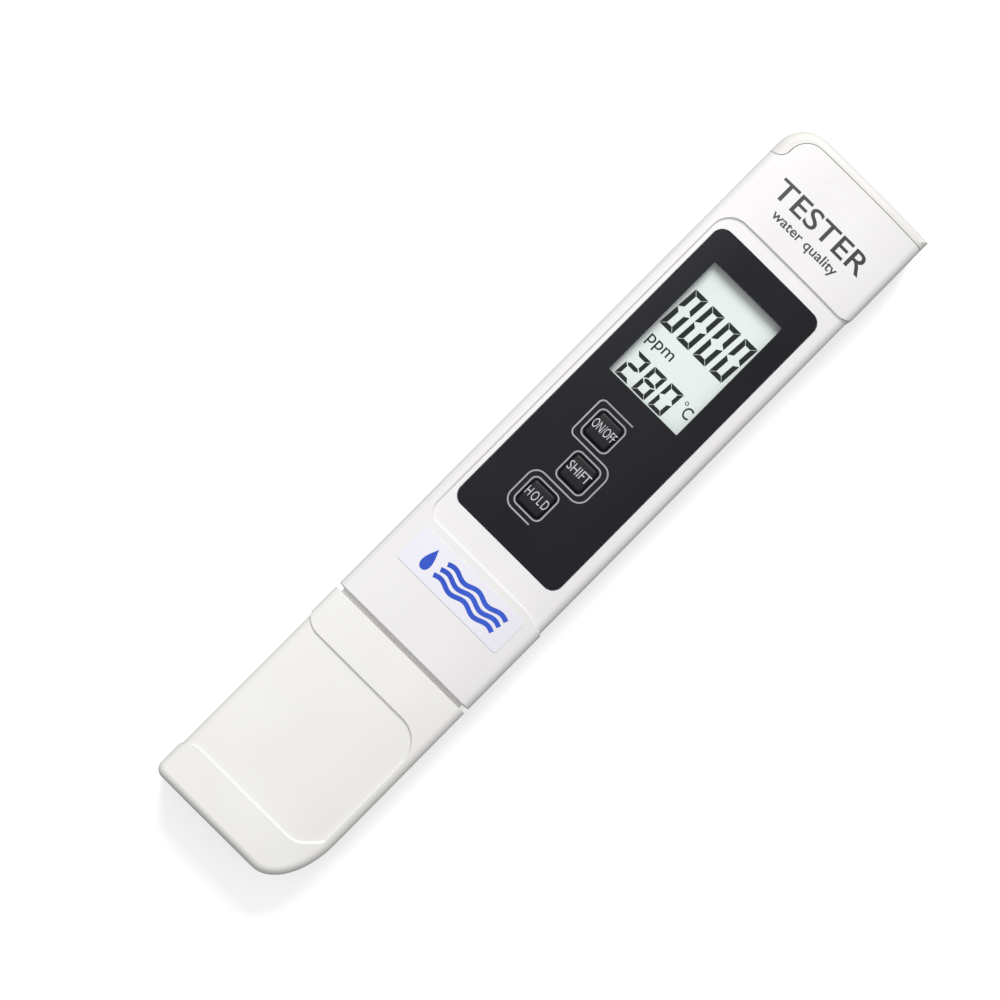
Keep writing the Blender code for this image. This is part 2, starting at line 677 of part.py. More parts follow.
def key_set(name, place, looks):
    x, y = place
    flange_top = CAVITY_CEILING - FIT
    flange_low = flange_top - KEY_FLANGE_THICKNESS
    key = slab("key_" + name, rectangle(place, KEY_WIDTH, KEY_WIDTH, KEY_CORNER - KEY_GAP), flange_low,
               RECESS_FLOOR + KEY_PROUD, parts)
    wide = KEY_WIDTH + 2 * KEY_FLANGE
    rim = rectangle(place, wide, wide, KEY_CORNER)
    flange = slab("key_flange_" + name, rim, flange_low - BOND, flange_top)
    join(key, flange)
    switch_top = BOARD_TOP + BOND + SWITCH_HEIGHT
    body = centred_plate("switch_body_" + name, place, SWITCH_WIDTH, SWITCH_WIDTH, BOARD_TOP + BOND,
                         switch_top)
    bore_low = switch_top - PLUNGER_SUNK - 2 * FIT
    cut(body, rod("plunger_bore_" + name, (x, y, bore_low), (x, y, switch_top + SINK), PLUNGER_BORE))
    plunger = rod("switch_plunger_" + name, (x, y, switch_top - PLUNGER_SUNK), (x, y, flange_low - 2 * BOND),
                  PLUNGER_RADIUS, parts)
    finish(key, looks["key"])
    finish(body, looks["switch"])
    finish(plunger, looks["plunger"])
    joint_empty("press_" + name, (x, y, RECESS_FLOOR + KEY_PROUD), [key, plunger])


# Circuit board

def board_outline():
    half = CAVITY_HALF - 4 * FIT
    low = TOP - BOARD_END
    shoulder = TOP - TOP_SCREW - REAR_BOSS_RADIUS - FIT
    tongue = TRAY_LOW_END - 3 * FIT
    narrow = BOARD_TONGUE_WIDTH / 2
    corners = [(-half, low), (half, low), (half, shoulder), (narrow, shoulder), (narrow, tongue),
               (-narrow, tongue), (-narrow, shoulder), (-half, shoulder)]
    return [Vector(corner) for corner in corners]


def resin_blob():
    """A dome of potting resin over the chip, turned round its axis."""
    profile = bpy.data.meshes.new("resin_blob_profile")
    rings = 4
    shape = bmesh.new()
    angles = [math.pi / 2 * i / rings for i in range(rings + 1)]
    places = [(BLOB_RADIUS * math.cos(a), 0.0, -BLOB_HEIGHT * math.sin(a)) for a in angles]
    points = [shape.verts.new(place) for place in reversed([(0.0, 0.0, 0.0)] + places)]
    for first, second in zip(points, points[1:]):
        shape.edges.new((first, second))
    bmesh.ops.spin(shape, geom=shape.verts[:] + shape.edges[:], cent=(0, 0, 0), axis=(0, 0, 1),
                   angle=2 * math.pi, steps=20, use_merge=True)
    bmesh.ops.remove_doubles(shape, verts=shape.verts, dist=0.000001)
    bmesh.ops.translate(shape, verts=shape.verts, vec=(0.0, WINDOW_CENTRE.y, BOARD_BOTTOM - BOND))
    bmesh.ops.recalc_face_normals(shape, faces=shape.faces)
    shape.to_mesh(profile)
    shape.free()
    return new_object("chip_resin", profile, parts)


def circuit_board(looks):
    board = slab("main_board", board_outline(), BOARD_BOTTOM, BOARD_TOP, parts)
    finish(board, looks["board"])
    finish(resin_blob(), looks["resin"])
    under = BOARD_BOTTOM - BOND
    crystal_z = under - CRYSTAL_RADIUS
    crystal_y = WINDOW_CENTRE.y - CRYSTAL_BELOW_WINDOW
    crystal_end = (CRYSTAL_X, crystal_y - CRYSTAL_LENGTH, crystal_z)
    crystal = rod("crystal", (CRYSTAL_X, crystal_y, crystal_z), crystal_end, CRYSTAL_RADIUS, parts, sides=14,
                  tip=CAN_EDGE)
    finish(crystal, looks["tin"])
    capacitor_z = under - CAPACITOR_RADIUS
    for number, x in enumerate(CAPACITOR_X, 1):
        start = (x, crystal_y, capacitor_z)
        end = (x, crystal_y - CAPACITOR_LENGTH, capacitor_z)
        finish(rod(f"capacitor_{number}", start, end, CAPACITOR_RADIUS, parts, tip=CAN_EDGE), looks["sleeve"])


def trimmer(looks):
    low = BOARD_BOTTOM - BOND - TRIMMER_HEIGHT
    place = (TRIMMER_X, TRIMMER_Y)
    body = centred_plate("trimmer_body", place, TRIMMER_WIDTH, TRIMMER_WIDTH, low, low + TRIMMER_HEIGHT)
    bore_top = low + TRIMMER_STEM_LENGTH + FIT
    cut(body, rod("stem_bore", (*place, low - SINK), (*place, bore_top), TRIMMER_STEM_RADIUS + BOND, sides=16))
    rotor_top = low - BOND
    rotor_low = rotor_top - TRIMMER_ROTOR_HEIGHT
    rotor = rod("trimmer_rotor", (*place, rotor_top), (*place, rotor_low), TRIMMER_ROTOR_RADIUS, parts,
                tip=TRIMMER_EDGE)
    join(rotor, rod("rotor_stem", (*place, rotor_top - SINK), (*place, low + TRIMMER_STEM_LENGTH),
                    TRIMMER_STEM_RADIUS, sides=16))
    half = TRIMMER_SLOT_WIDTH / 2
    long = TRIMMER_ROTOR_RADIUS - 0.3 * MM
    cut(rotor, box("rotor_slot", (TRIMMER_X - long, TRIMMER_Y - half, 0),
                   (TRIMMER_X + long, TRIMMER_Y + half, rotor_low + TRIMMER_SLOT_DEPTH)))
    finish(body, looks["trimmer"])
    finish(rotor, looks["tin"])
    joint_empty("trimmer_axis", (*place, rotor_top), [rotor])


# Battery drawer

def battery_cover(cavity):
    cover = pen_solid("battery_cover", case_outline(), 0.0, THICKNESS, parts, FRONT_EDGE, REAR_EDGE,
                      square_end=CASE_END)
    region = slab("cover_region", above_seam(0.0), -REACH, THICKNESS + REACH)
    combine(cover, region, "INTERSECT")
    cut(cover, cavity)
    return cover


def battery_tray():
    half = CAVITY_HALF - 2 * FIT
    floor = CELL_BOTTOM - LINK_THICKNESS - 2 * BOND
    outline = rounded([
        (-half, TRAY_LOW_END, FIT),
        (half, TRAY_LOW_END, FIT),
        (half, TRAY_TOP_END, FIT),
        (-half, TRAY_TOP_END, BATTERY_CORNER - SIDE_WALL - FIT),
    ], 4)
    tray = slab("battery_tray", outline, CAVITY_FLOOR + FIT, CELL_TOP - CELL_PROUD, parts)
    for name, side in (("left", -1), ("right", 1)):
        centre = (side * CELL_X, CELL_Y)
        pocket = rod("cell_pocket_" + name, (*centre, floor), (*centre, THICKNESS), CELL_RADIUS + POCKET_GAP,
                     sides=32)
        cut(tray, pocket)
    link_half = LINK_WIDTH / 2 + POCKET_GAP
    cut(tray, box("link_channel", (-CELL_X, CELL_Y - link_half, floor + BOND / 4),
                  (CELL_X, CELL_Y + link_half, CELL_BOTTOM + FIT)))
    return tray


def battery_drawer(cavity, looks):
    cover = finish(battery_cover(cavity), looks["case"])
    tray = finish(battery_tray(), looks["holder"])
    link_low = CELL_BOTTOM - BOND - LINK_THICKNESS
    link = centred_plate("contact_link", (0.0, CELL_Y), 2 * CELL_X, LINK_WIDTH, link_low,
                         link_low + LINK_THICKNESS)
    finish(link, looks["contact"])
    members = [cover, tray, link]
    for number, side in ((1, -1), (2, 1)):
        centre = (side * CELL_X, CELL_Y)
        cell = rod(f"button_cell_{number}", (*centre, CELL_BOTTOM), (*centre, CELL_TOP), CELL_RADIUS, parts,
                   sides=32, tip=CELL_EDGE)
        members.append(finish(cell, looks["steel"]))
    joint_empty("drawer_slide", (0.0, SEAM_Y, CAVITY_MIDDLE), members)


def contact_spring(name, side, looks):
    """A leaf spring from a pad on the board's tongue down onto a cell."""
    pad = BOARD_TOP + BOND
    touch = CELL_TOP + FIT
    start = TRAY_LOW_END - CONTACT_PAD
    lower = [(start, pad), (TRAY_LOW_END - FIT, pad), (CELL_Y - FIT, touch), (CELL_Y + FIT, touch),
             (CELL_Y + CONTACT_TAIL, touch + CONTACT_LIFT)]
    upper = [(y, z + CONTACT_THICKNESS) for y, z in reversed(lower)]
    outline = [Vector(point) for point in lower + upper]
    upright = Matrix(((0, 0, 1, 0), (1, 0, 0, 0), (0, 1, 0, 0), (0, 0, 0, 1)))
    middle = side * (BOARD_TONGUE_WIDTH / 2 - CONTACT_WIDTH / 2 - FIT)
    spring = slab(name, outline, middle - CONTACT_WIDTH / 2, middle + CONTACT_WIDTH / 2, parts, upright)
    finish(spring, looks["contact"])


# Probe

def probe_housing():
    half = CAVITY_HALF - FIT
    low_z, high_z = CAVITY_FLOOR + FIT, CAVITY_CEILING - FIT
    neck_end = CASE_END - NECK_LENGTH
    housing = box("probe_housing", (-half, neck_end, low_z), (half, CASE_END + PLUG_LENGTH, high_z), parts,
                  edge=HOUSING_EDGE, axis=1)
    tip_x, tip_z = TIP_WIDTH / 2, TIP_THICKNESS / 2
    tip = box("probe_tip", (-tip_x, TIP_END, CAVITY_MIDDLE - tip_z),
              (tip_x, neck_end + SINK, CAVITY_MIDDLE + tip_z), edge=TIP_EDGE, axis=1)
    join(housing, tip)
    slot_x = TIP_SLOT_WIDTH / 2
    cut(housing, box("tip_slot", (-slot_x, TIP_END - REACH, -REACH), (slot_x, SLOT_ROOT, THICKNESS + REACH)))
    channel_x, channel_z = CHANNEL_WIDTH / 2, CHANNEL_HEIGHT / 2
    cut(housing, box("lead_channel", (-channel_x, CHANNEL_END, CAVITY_MIDDLE - channel_z),
                     (channel_x, CASE_END + PLUG_LENGTH + REACH, CAVITY_MIDDLE + channel_z)))
    for number, side in ((1, -1), (2, 1)):
        x = side * PIN_SPACING / 2
        cut(housing, rod(f"pin_hole_{number}", (x, SLOT_ROOT - SINK, CAVITY_MIDDLE),
                         (x, CHANNEL_END + SINK, CAVITY_MIDDLE), PIN_RADIUS + BOND, sides=14))
    cut(housing, rod("sensor_hole", (0, SLOT_ROOT - SINK, CAVITY_MIDDLE), (0, CHANNEL_END + SINK, CAVITY_MIDDLE),
                     SENSOR_RADIUS + BOND, sides=14))
    for number, (x, y) in enumerate(screw_places()[2:], 1):
        cut(housing, rod(f"boss_hole_{number}", (x, y, -REACH), (x, y, THICKNESS + REACH), REAR_BOSS_RADIUS + FIT))
    return housing


def lead(name, x, pad_x, start_y, look):
    """A soldered wire from the probe, up its channel, to the underside of the board."""
    board_end = TOP - BOARD_END
    pad_z = BOARD_BOTTOM - BOND - LEAD_RADIUS
    plug_top = CASE_END + PLUG_LENGTH
    room = board_end - plug_top
    knots = [
        Vector((x, start_y, CAVITY_MIDDLE)),
        Vector((x, (start_y + plug_top) / 2, CAVITY_MIDDLE - LEAD_SAG)),
        Vector((x, plug_top, CAVITY_MIDDLE - 2 * LEAD_SAG)),
        Vector(((x + pad_x) / 2, plug_top + room / 2, CAVITY_MIDDLE - 2.7 * LEAD_SAG)),
        Vector((pad_x, board_end, pad_z - LEAD_SAG)),
        Vector((pad_x, board_end + LEAD_PAD_LENGTH, pad_z)),
    ]
    ends = [2 * knots[0] - knots[1]] + knots + [2 * knots[-1] - knots[-2]]
    route = []
    steps = 4
    for a, b, c, d in zip(ends, ends[1:], ends[2:], ends[3:]):
        for i in range(steps):
            t = i / steps
            route.append(0.5 * (2 * b + (c - a) * t + (2 * a - 5 * b + 4 * c - d) * t ** 2
                                + (3 * b - a - 3 * c + d) * t ** 3))
    route.append(knots[-1])
    curve = bpy.data.curves.new(name, "CURVE")
    curve.dimensions = "3D"
    curve.bevel_depth = LEAD_RADIUS
    curve.bevel_resolution = 1
    curve.use_fill_caps = True
    spline = curve.splines.new("POLY")
    spline.points.add(len(route) - 1)
    for point, place in zip(spline.points, route):
        point.co = (*place, 1.0)
    curve.materials.append(look)
    made = bpy.data.objects.new(name, curve)
    parts.objects.link(made)


def probe(looks):
    finish(probe_housing(), looks["probe"])
    tail = CHANNEL_END + PIN_TAIL
    for name, side in (("left", -1), ("right", 1)):
        x = side * PIN_SPACING / 2
        pin = rod(f"electrode_pin_{name}", (x, tail, CAVITY_MIDDLE), (x, SLOT_ROOT - PIN_SHOWN, CAVITY_MIDDLE),
                  PIN_RADIUS, parts, sides=16, tip=PIN_EDGE)
        finish(pin, looks["pin"])
        lead(f"electrode_lead_{name}", x, side * LEAD_PAD_X, tail + FIT, looks[f"lead_{name}"])
    sensor = rod("temperature_sensor", (0, tail, CAVITY_MIDDLE), (0, SLOT_ROOT - SENSOR_SHOWN, CAVITY_MIDDLE),
                 SENSOR_RADIUS, parts, sides=16, tip=SENSOR_EDGE)
    finish(sensor, looks["pin"])
    lead("sensor_lead", 0.0, 0.0, tail + FIT, looks["lead_sensor"])


def front_label(look):
    top = TOP - LABEL_TOP
    outline = rectangle((BOND, top - LABEL_LENGTH / 2), LABEL_WIDTH, LABEL_LENGTH, LABEL_CORNER)
    low = THICKNESS + LABEL_GAP
    finish(slab("front_label", outline, low, low + LABEL_THICKNESS, parts), look)


def make_looks():
    return {
        "case": material("case_white", (0.86, 0.855, 0.85), 0.38),
        "rear": material("rear_white", (0.85, 0.845, 0.84), 0.42),
        "cap": material("cap_white", (0.87, 0.865, 0.845), 0.36),
        "panel": material("panel_black", (0.022, 0.021, 0.025), 0.45),
        "key": material("key_black", (0.018, 0.018, 0.02), 0.5),
        "clear": material("window_clear", (0.95, 0.97, 0.96), 0.06, alpha=0.2),
        "glass": material("lcd_glass_grey", (0.72, 0.78, 0.75), 0.12),
        "film": material("lcd_film_silver", (0.7, 0.72, 0.72), 0.3, 0.6),
        "holder": material("holder_plastic", (0.75, 0.75, 0.73), 0.5),
        "rubber": material("connector_rubber", (0.45, 0.2, 0.22), 0.7),
        "board": material("board_green", (0.03, 0.2, 0.07), 0.4),
        "resin": material("resin_black", (0.01, 0.01, 0.01), 0.25),
        "tin": material("tinned_can", (0.7, 0.7, 0.68), 0.3, 0.9),
        "sleeve": material("capacitor_sleeve", (0.02, 0.03, 0.08), 0.35),
        "switch": material("switch_black", (0.03, 0.03, 0.03), 0.5),
        "plunger": material("plunger_brown", (0.2, 0.12, 0.07), 0.45),
        "trimmer": material("trimmer_blue", (0.03, 0.12, 0.4), 0.4),
        "contact": material("contact_nickel", (0.72, 0.7, 0.64), 0.28, 1.0),
        "steel": material("cell_steel", (0.75, 0.75, 0.74), 0.22, 1.0),
        "screw": material("screw_zinc", (0.6, 0.6, 0.6), 0.35, 1.0),
        "probe": material("probe_white", (0.84, 0.84, 0.83), 0.4),
        "pin": material("pin_titanium", (0.55, 0.54, 0.52), 0.3, 1.0),
        "lead_left": material("lead_red", (0.5, 0.02, 0.02), 0.45),
        "lead_right": material("lead_black", (0.02, 0.02, 0.02), 0.45),
        "lead_sensor": material("lead_white", (0.8, 0.8, 0.78), 0.45),
        "label": material("label_pale", (0.8, 0.79, 0.85), 0.3),
    }


def build():
    for old in list(bpy.data.objects):
        bpy.data.objects.remove(old)
    for collection in (parts, cutters):
        bpy.context.scene.collection.children.link(collection)
    looks = make_looks()
    cavity = cavity_cutter()
    core = pen_solid("case_core", case_outline(RECESS_SIDE_DEPTH), -2 * REACH, RECESS_FLOOR, cutters, FRONT_EDGE,
                     square_end=CASE_END)
    step = step_cutter("panel_recess", panel_recess_outline(), core)
    seam = slab("seam_region", above_seam(SEAM_GAP), -REACH, THICKNESS + REACH)
    finish(front_cover(cavity, step, seam), looks["case"])
    finish(rear_cover(cavity, step, seam), looks["rear"])
    for number, place in enumerate(screw_places(), 1):
        finish(case_screw(number, place), looks["screw"])
    cap = finish(protective_cap(), looks["cap"])
    joint_empty("cap_slide", (0.0, CAP_MOUTH, CAVITY_MIDDLE), [cap])
    finish(control_panel(), looks["panel"])
    display_stack(looks)
    for name, place in key_places().items():
        key_set(name, place, looks)
    circuit_board(looks)
    trimmer(looks)
    battery_drawer(cavity, looks)
    contact_spring("contact_positive", -1, looks)
    contact_spring("contact_negative", 1, looks)
    probe(looks)
    front_label(looks["label"])


build()
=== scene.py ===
import bpy
import bmesh
import math
from mathutils import Matrix, Vector


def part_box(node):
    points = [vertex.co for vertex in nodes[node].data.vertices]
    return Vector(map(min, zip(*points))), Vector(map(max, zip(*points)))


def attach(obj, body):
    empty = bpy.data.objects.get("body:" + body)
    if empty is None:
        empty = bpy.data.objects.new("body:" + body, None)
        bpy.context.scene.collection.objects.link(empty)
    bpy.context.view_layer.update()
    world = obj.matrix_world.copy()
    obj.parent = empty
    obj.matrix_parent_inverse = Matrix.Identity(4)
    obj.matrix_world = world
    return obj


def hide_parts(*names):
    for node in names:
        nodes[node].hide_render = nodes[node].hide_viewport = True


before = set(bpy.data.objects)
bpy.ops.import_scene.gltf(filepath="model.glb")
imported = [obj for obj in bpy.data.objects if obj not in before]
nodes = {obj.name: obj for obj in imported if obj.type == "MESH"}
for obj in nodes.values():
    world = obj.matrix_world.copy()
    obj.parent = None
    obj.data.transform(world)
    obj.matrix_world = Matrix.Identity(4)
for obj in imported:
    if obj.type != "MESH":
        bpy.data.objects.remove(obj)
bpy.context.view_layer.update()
mm = 0.001
bench = bpy.context.scene.collection
bpy.context.scene.view_settings.view_transform = "Standard"


def sized(plain=None, **lengths):
    # the settings of a piece: plain values, then lengths in millimetres
    return {**(plain or {}), **{name: length * mm for name, length in lengths.items()}}


def low(node):
    return Vector(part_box(node)[0])


def high(node):
    return Vector(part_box(node)[1])


def middle(node):
    return (low(node) + high(node)) / 2


def span(node):
    return high(node) - low(node)


# outlines: corners with a radius, drawn as arcs
def arc(before, after, radius, steps):
    u, v = before.normalized(), after.normalized()
    half = u.angle(v) / 2
    reach = radius / math.tan(half)
    centre = (u + v).normalized() * radius / math.sin(half)
    first, last = u * reach - centre, v * reach - centre
    turn = math.copysign(math.pi - 2 * half, first.x * last.y - first.y * last.x)
    return [centre + Matrix.Rotation(turn * i / steps, 2) @ first for i in range(steps + 1)]


def drawn(corners, steps=14):
    # a corner is (x, y), (x, y, radius) or (x, y, radiusX, radiusY)
    points = []
    for index, corner in enumerate(corners):
        here = Vector(corner[:2])
        if len(corner) == 2:
            points.append(here)
            continue
        squeeze = corner[2] / corner[-1]
        flat = Vector((1.0, squeeze))
        before = (Vector(corners[index - 1][:2]) - here) * flat
        after = (Vector(corners[(index + 1) % len(corners)][:2]) - here) * flat
        points += [here + Vector((p.x, p.y / squeeze)) for p in arc(before, after, corner[2], steps)]
    return points


def oblong(centre, width, length, corner=0.0, steps=8):
    x, y = width / 2, length / 2
    spots = [(centre[0] + sx * x, centre[1] + sy * y) for sx, sy in ((-1, -1), (1, -1), (1, 1), (-1, 1))]
    if corner == 0.0:
        return [Vector(spot) for spot in spots]
    return drawn([(*spot, corner) for spot in spots], steps)


# mesh tools
def piece(name, shape):
    mesh = bpy.data.meshes.new(name)
    shape.to_mesh(mesh)
    shape.free()
    made = bpy.data.objects.new(name, mesh)
    bench.objects.link(made)
    return made


def flatFace(shape, points, height):
    return shape.faces.new([shape.verts.new((p[0], p[1], height)) for p in points])


def grow(shape, faces, rise):
    grown = bmesh.ops.extrude_face_region(shape, geom=faces)["geom"]
    raised = [item for item in grown if isinstance(item, bmesh.types.BMVert)]
    bmesh.ops.translate(shape, verts=raised, vec=(0.0, 0.0, rise))


def extruded(points, bottom, top):
    # one face drawn from the outline, grown upwards
    shape = bmesh.new()
    grow(shape, [flatFace(shape, points, bottom)], top - bottom)
    bmesh.ops.recalc_face_normals(shape, faces=shape.faces)
    return shape


def stacked(levels):
    # an outline grown from level to level, each level with its own outline of as many points
    points, bottom = levels[0]
    shape = bmesh.new()
    ring = [shape.verts.new((p[0], p[1], bottom)) for p in points]
    edges = [shape.edges.new(pair) for pair in zip(ring, ring[1:] + ring[:1])]
    bmesh.ops.contextual_create(shape, geom=edges)
    for wider, height in levels[1:]:
        grown = bmesh.ops.extrude_edge_only(shape, edges=edges)["geom"]
        ring = {item for item in grown if isinstance(item, bmesh.types.BMVert)}
        edges = [item for item in grown
                 if isinstance(item, bmesh.types.BMEdge) and ring.issuperset(item.verts)]
        for vert in ring:
            nearest = min(range(len(points)), key=lambda i: (points[i] - vert.co.xy).length_squared)
            vert.co = (*wider[nearest], height)
        points = wider
    bmesh.ops.contextual_create(shape, geom=edges)
    bmesh.ops.recalc_face_normals(shape, faces=shape.faces)
    return shape


def rounded(shape, edges, width, steps):
    bmesh.ops.bevel(shape, geom=edges, offset=width, segments=steps, profile=0.5,
                    affect="EDGES", material=-1)


def roundRim(shape, level, width, steps, squareEnd=None):
    # rounds the rim that lies at one height, but leaves an edge at y = squareEnd alone
    rim = []
    for edge in shape.edges:
        flat = all(abs(v.co.z - level) < 1e-6 for v in edge.verts)
        left = squareEnd is not None and all(abs(v.co.y - squareEnd) < 1e-6 for v in edge.verts)
        if flat and not left:
            rim.append(edge)
    rounded(shape, rim, width, steps)


def block(name, bottom, top, edge=0.0, steps=5, axis=None):
    bottom, top = Vector(bottom), Vector(top)
    shape = bmesh.new()
    bmesh.ops.create_cube(shape, size=1.0)
    bmesh.ops.scale(shape, verts=shape.verts, vec=top - bottom)
    bmesh.ops.translate(shape, verts=shape.verts, vec=(bottom + top) / 2)
    if edge > 0.0:
        rim = shape.edges[:]
        if axis is not None:
            rim = [e for e in rim if abs((e.verts[0].co - e.verts[1].co)[axis]) > edge]
        rounded(shape, rim, edge, steps)
    return piece(name, shape)


def rod(name, start, end, radius, sides=48, tip=0.0, tipSteps=6):
    start, end = Vector(start), Vector(end)
    along = end - start
    shape = bmesh.new()
    bmesh.ops.create_cone(shape, cap_ends=True, segments=sides, radius1=radius, radius2=radius,
                          depth=along.length)
    if tip > 0.0:
        rounded(shape, [e for e in shape.edges if all(v.co.z > 0 for v in e.verts)], tip, tipSteps)
    turn = Vector((0, 0, 1)).rotation_difference(along).to_matrix().to_4x4()
    bmesh.ops.transform(shape, matrix=Matrix.Translation((start + end) / 2) @ turn, verts=shape.verts)
    return piece(name, shape)


def turned(name, profile, centre, sides=64):
    # profile of (radius, height) pairs, spun round Z
    shape = bmesh.new()
    line = [shape.verts.new((radius, 0.0, height)) for radius, height in profile]
    for first, second in zip(line, line[1:]):
        shape.edges.new((first, second))
    bmesh.ops.spin(shape, geom=shape.verts[:] + shape.edges[:], cent=(0, 0, 0), axis=(0, 0, 1),
                   angle=2 * math.pi, steps=sides, use_merge=True)
    bmesh.ops.remove_doubles(shape, verts=shape.verts, dist=1e-7)
    bmesh.ops.recalc_face_normals(shape, faces=shape.faces)
    bmesh.ops.translate(shape, verts=shape.verts, vec=centre)
    return piece(name, shape)


def carve(made, tools, how="DIFFERENCE"):
    for tool in tools:
        step = made.modifiers.new(tool.name, "BOOLEAN")
        step.operation = how
        step.solver = "EXACT"
        step.object = tool
    mesh = bpy.data.meshes.new_from_object(made.evaluated_get(bpy.context.evaluated_depsgraph_get()))
    made.modifiers.clear()
    made.data = mesh
    for tool in tools:
        bpy.data.objects.remove(tool)
    return made


def quarter(radius, steps=6):
    # steps of a quarter turn, as (across, along) pairs that start at (radius, 0)
    angles = [math.pi / 2 * i / steps for i in range(steps + 1)]
    return [(radius * math.cos(a), radius * math.sin(a)) for a in angles]


def soften(made, width, steps=3, angle=32):
    # rounds what is still sharp, then evens the shading of the flats
    made.data.shade_smooth()
    edge = made.modifiers.new("softEdges", "BEVEL")
    edge.width = width
    edge.segments = steps
    edge.limit_method = "ANGLE"
    edge.angle_limit = math.radians(angle)
    edge.miter_outer = "MITER_ARC"
    edge.harden_normals = True
    edge.use_clamp_overlap = True
    even = made.modifiers.new("evenShading", "WEIGHTED_NORMAL")
    even.keep_sharp = True
    return made


def smooth(made, angle=35):
    made.data.shade_smooth()
    made.data.set_sharp_from_angle(angle=math.radians(angle))
    return made


crown = {"start": 4 * mm, "drop": 1.2 * mm, "cuts": (4, 5.5, 7, 8.5, 10, 11.5, 12.7, 13.6)}


def crowned(made):
    # bends a front piece gently down towards the two long sides
    shape = bmesh.new()
    shape.from_mesh(made.data)
    for cut in crown["cuts"]:
        for side in (-1, 1):
            bmesh.ops.bisect_plane(shape, geom=shape.verts[:] + shape.edges[:] + shape.faces[:],
                                   dist=1e-6, plane_co=(side * cut * mm, 0, 0), plane_no=(1, 0, 0))
    for vert in shape.verts:
        out = (abs(vert.co.x) - crown["start"]) / (sideX - crown["start"])
        up = (vert.co.z - splitZ) / (frontZ - splitZ)
        if out > 0 and up > 0:
            vert.co.z -= crown["drop"] * out ** 2 * up
    shape.to_mesh(made.data)
    shape.free()
    return made


def fitted(made, finishName, body, slot, *stoodFor):
    made.data.materials.clear()
    made.data.materials.append(finishes[finishName])
    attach(made, body)
    if stoodFor:
        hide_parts(*stoodFor)
    return made


print("tools ready")


# finishes
def socket(group, name, kind, side, value=None):
    made = group.interface.new_socket(name=name, in_out=side, socket_type="NodeSocket" + kind)
    if value is not None:
        made.default_value = value


def constants(node, values):
    for name, value in values.items():
        node.inputs[name].default_value = value


def added(tree, kind, values=None, **settings):
    # a shader node with its settings and the constants of its sockets
    made = tree.nodes.new("ShaderNode" + kind)
    for name, value in settings.items():
        setattr(made, name, value)
    constants(made, values or {})
    return made


def wire(tree, *links):
    # a link is a node and its output, then the node that takes it and the input there
    for source, outlet, target, inlet in links:
        tree.links.new(source.outputs[outlet], target.inputs[inlet])


def makeMottle():
    # two close colours drifting into each other, with a few fine specks
    group = bpy.data.node_groups.new("mottle", "ShaderNodeTree")
    for name, value in (("Color", 0.8), ("Drift", 0.7), ("Speck", 0.4)):
        socket(group, name, "Color", "INPUT", (value, value, value, 1))
    socket(group, "Scale", "Float", "INPUT", 60.0)
    socket(group, "Specks", "Float", "INPUT", 0.0)
    socket(group, "Color", "Color", "OUTPUT")
    given, out = group.nodes.new("NodeGroupInput"), group.nodes.new("NodeGroupOutput")
    place = added(group, "TexCoord")
    cloud = added(group, "TexNoise", {"Detail": 4.0})
    ramp = added(group, "MapRange", {"From Min": 0.35, "From Max": 0.65})
    blend = added(group, "Mix", data_type="RGBA")
    dots = added(group, "TexVoronoi", {"Scale": 420.0})
    near = added(group, "MapRange", {"From Min": 0.1, "From Max": 0.04})
    rare = added(group, "TexNoise", {"Scale": 300.0})
    few = added(group, "MapRange", {"From Min": 0.66, "From Max": 0.7})
    both = added(group, "Math", operation="MULTIPLY")
    amount = added(group, "Math", operation="MULTIPLY")
    speckled = added(group, "Mix", data_type="RGBA")
    wire(group, (place, "Object", cloud, "Vector"), (place, "Object", dots, "Vector"),
         (place, "Object", rare, "Vector"), (given, "Scale", cloud, "Scale"),
         (cloud, "Fac", ramp, "Value"), (ramp, "Result", blend, "Factor"), (given, "Color", blend, "A"),
         (given, "Drift", blend, "B"), (dots, "Distance", near, "Value"), (rare, "Fac", few, "Value"),
         (near, "Result", both, 0), (few, "Result", both, 1), (both, "Value", amount, 0),
         (given, "Specks", amount, 1), (amount, "Value", speckled, "Factor"),
         (blend, "Result", speckled, "A"), (given, "Speck", speckled, "B"),
         (speckled, "Result", out, "Color"))
    return group


def makeGrain():
    # fine moulded grain: a height for the bump and a roughness that drifts over the piece
    group = bpy.data.node_groups.new("grain", "ShaderNodeTree")
    socket(group, "Scale", "Float", "INPUT", 900.0)
    socket(group, "Rough Low", "Float", "INPUT", 0.3)
    socket(group, "Rough High", "Float", "INPUT", 0.45)
    socket(group, "Stretch", "Vector", "INPUT", (1.0, 1.0, 1.0))
    socket(group, "Roughness", "Float", "OUTPUT")
    socket(group, "Height", "Float", "OUTPUT")
    given, out = group.nodes.new("NodeGroupInput"), group.nodes.new("NodeGroupOutput")
    place = added(group, "TexCoord")
    pulled = added(group, "VectorMath", operation="MULTIPLY")
    fine = added(group, "TexNoise", {"Detail": 3.0})
    smear = added(group, "TexNoise", {"Scale": 45.0})
    rough = added(group, "MapRange", {"From Min": 0.3, "From Max": 0.7})
    wire(group, (place, "Object", pulled, 0), (given, "Stretch", pulled, 1),
         (pulled, "Vector", fine, "Vector"), (given, "Scale", fine, "Scale"),
         (place, "Object", smear, "Vector"), (smear, "Fac", rough, "Value"),
         (given, "Rough Low", rough, "To Min"), (given, "Rough High", rough, "To Max"),
         (rough, "Result", out, "Roughness"), (fine, "Fac", out, "Height"))
    return group


mottle, grain = makeMottle(), makeGrain()
finishes = {}


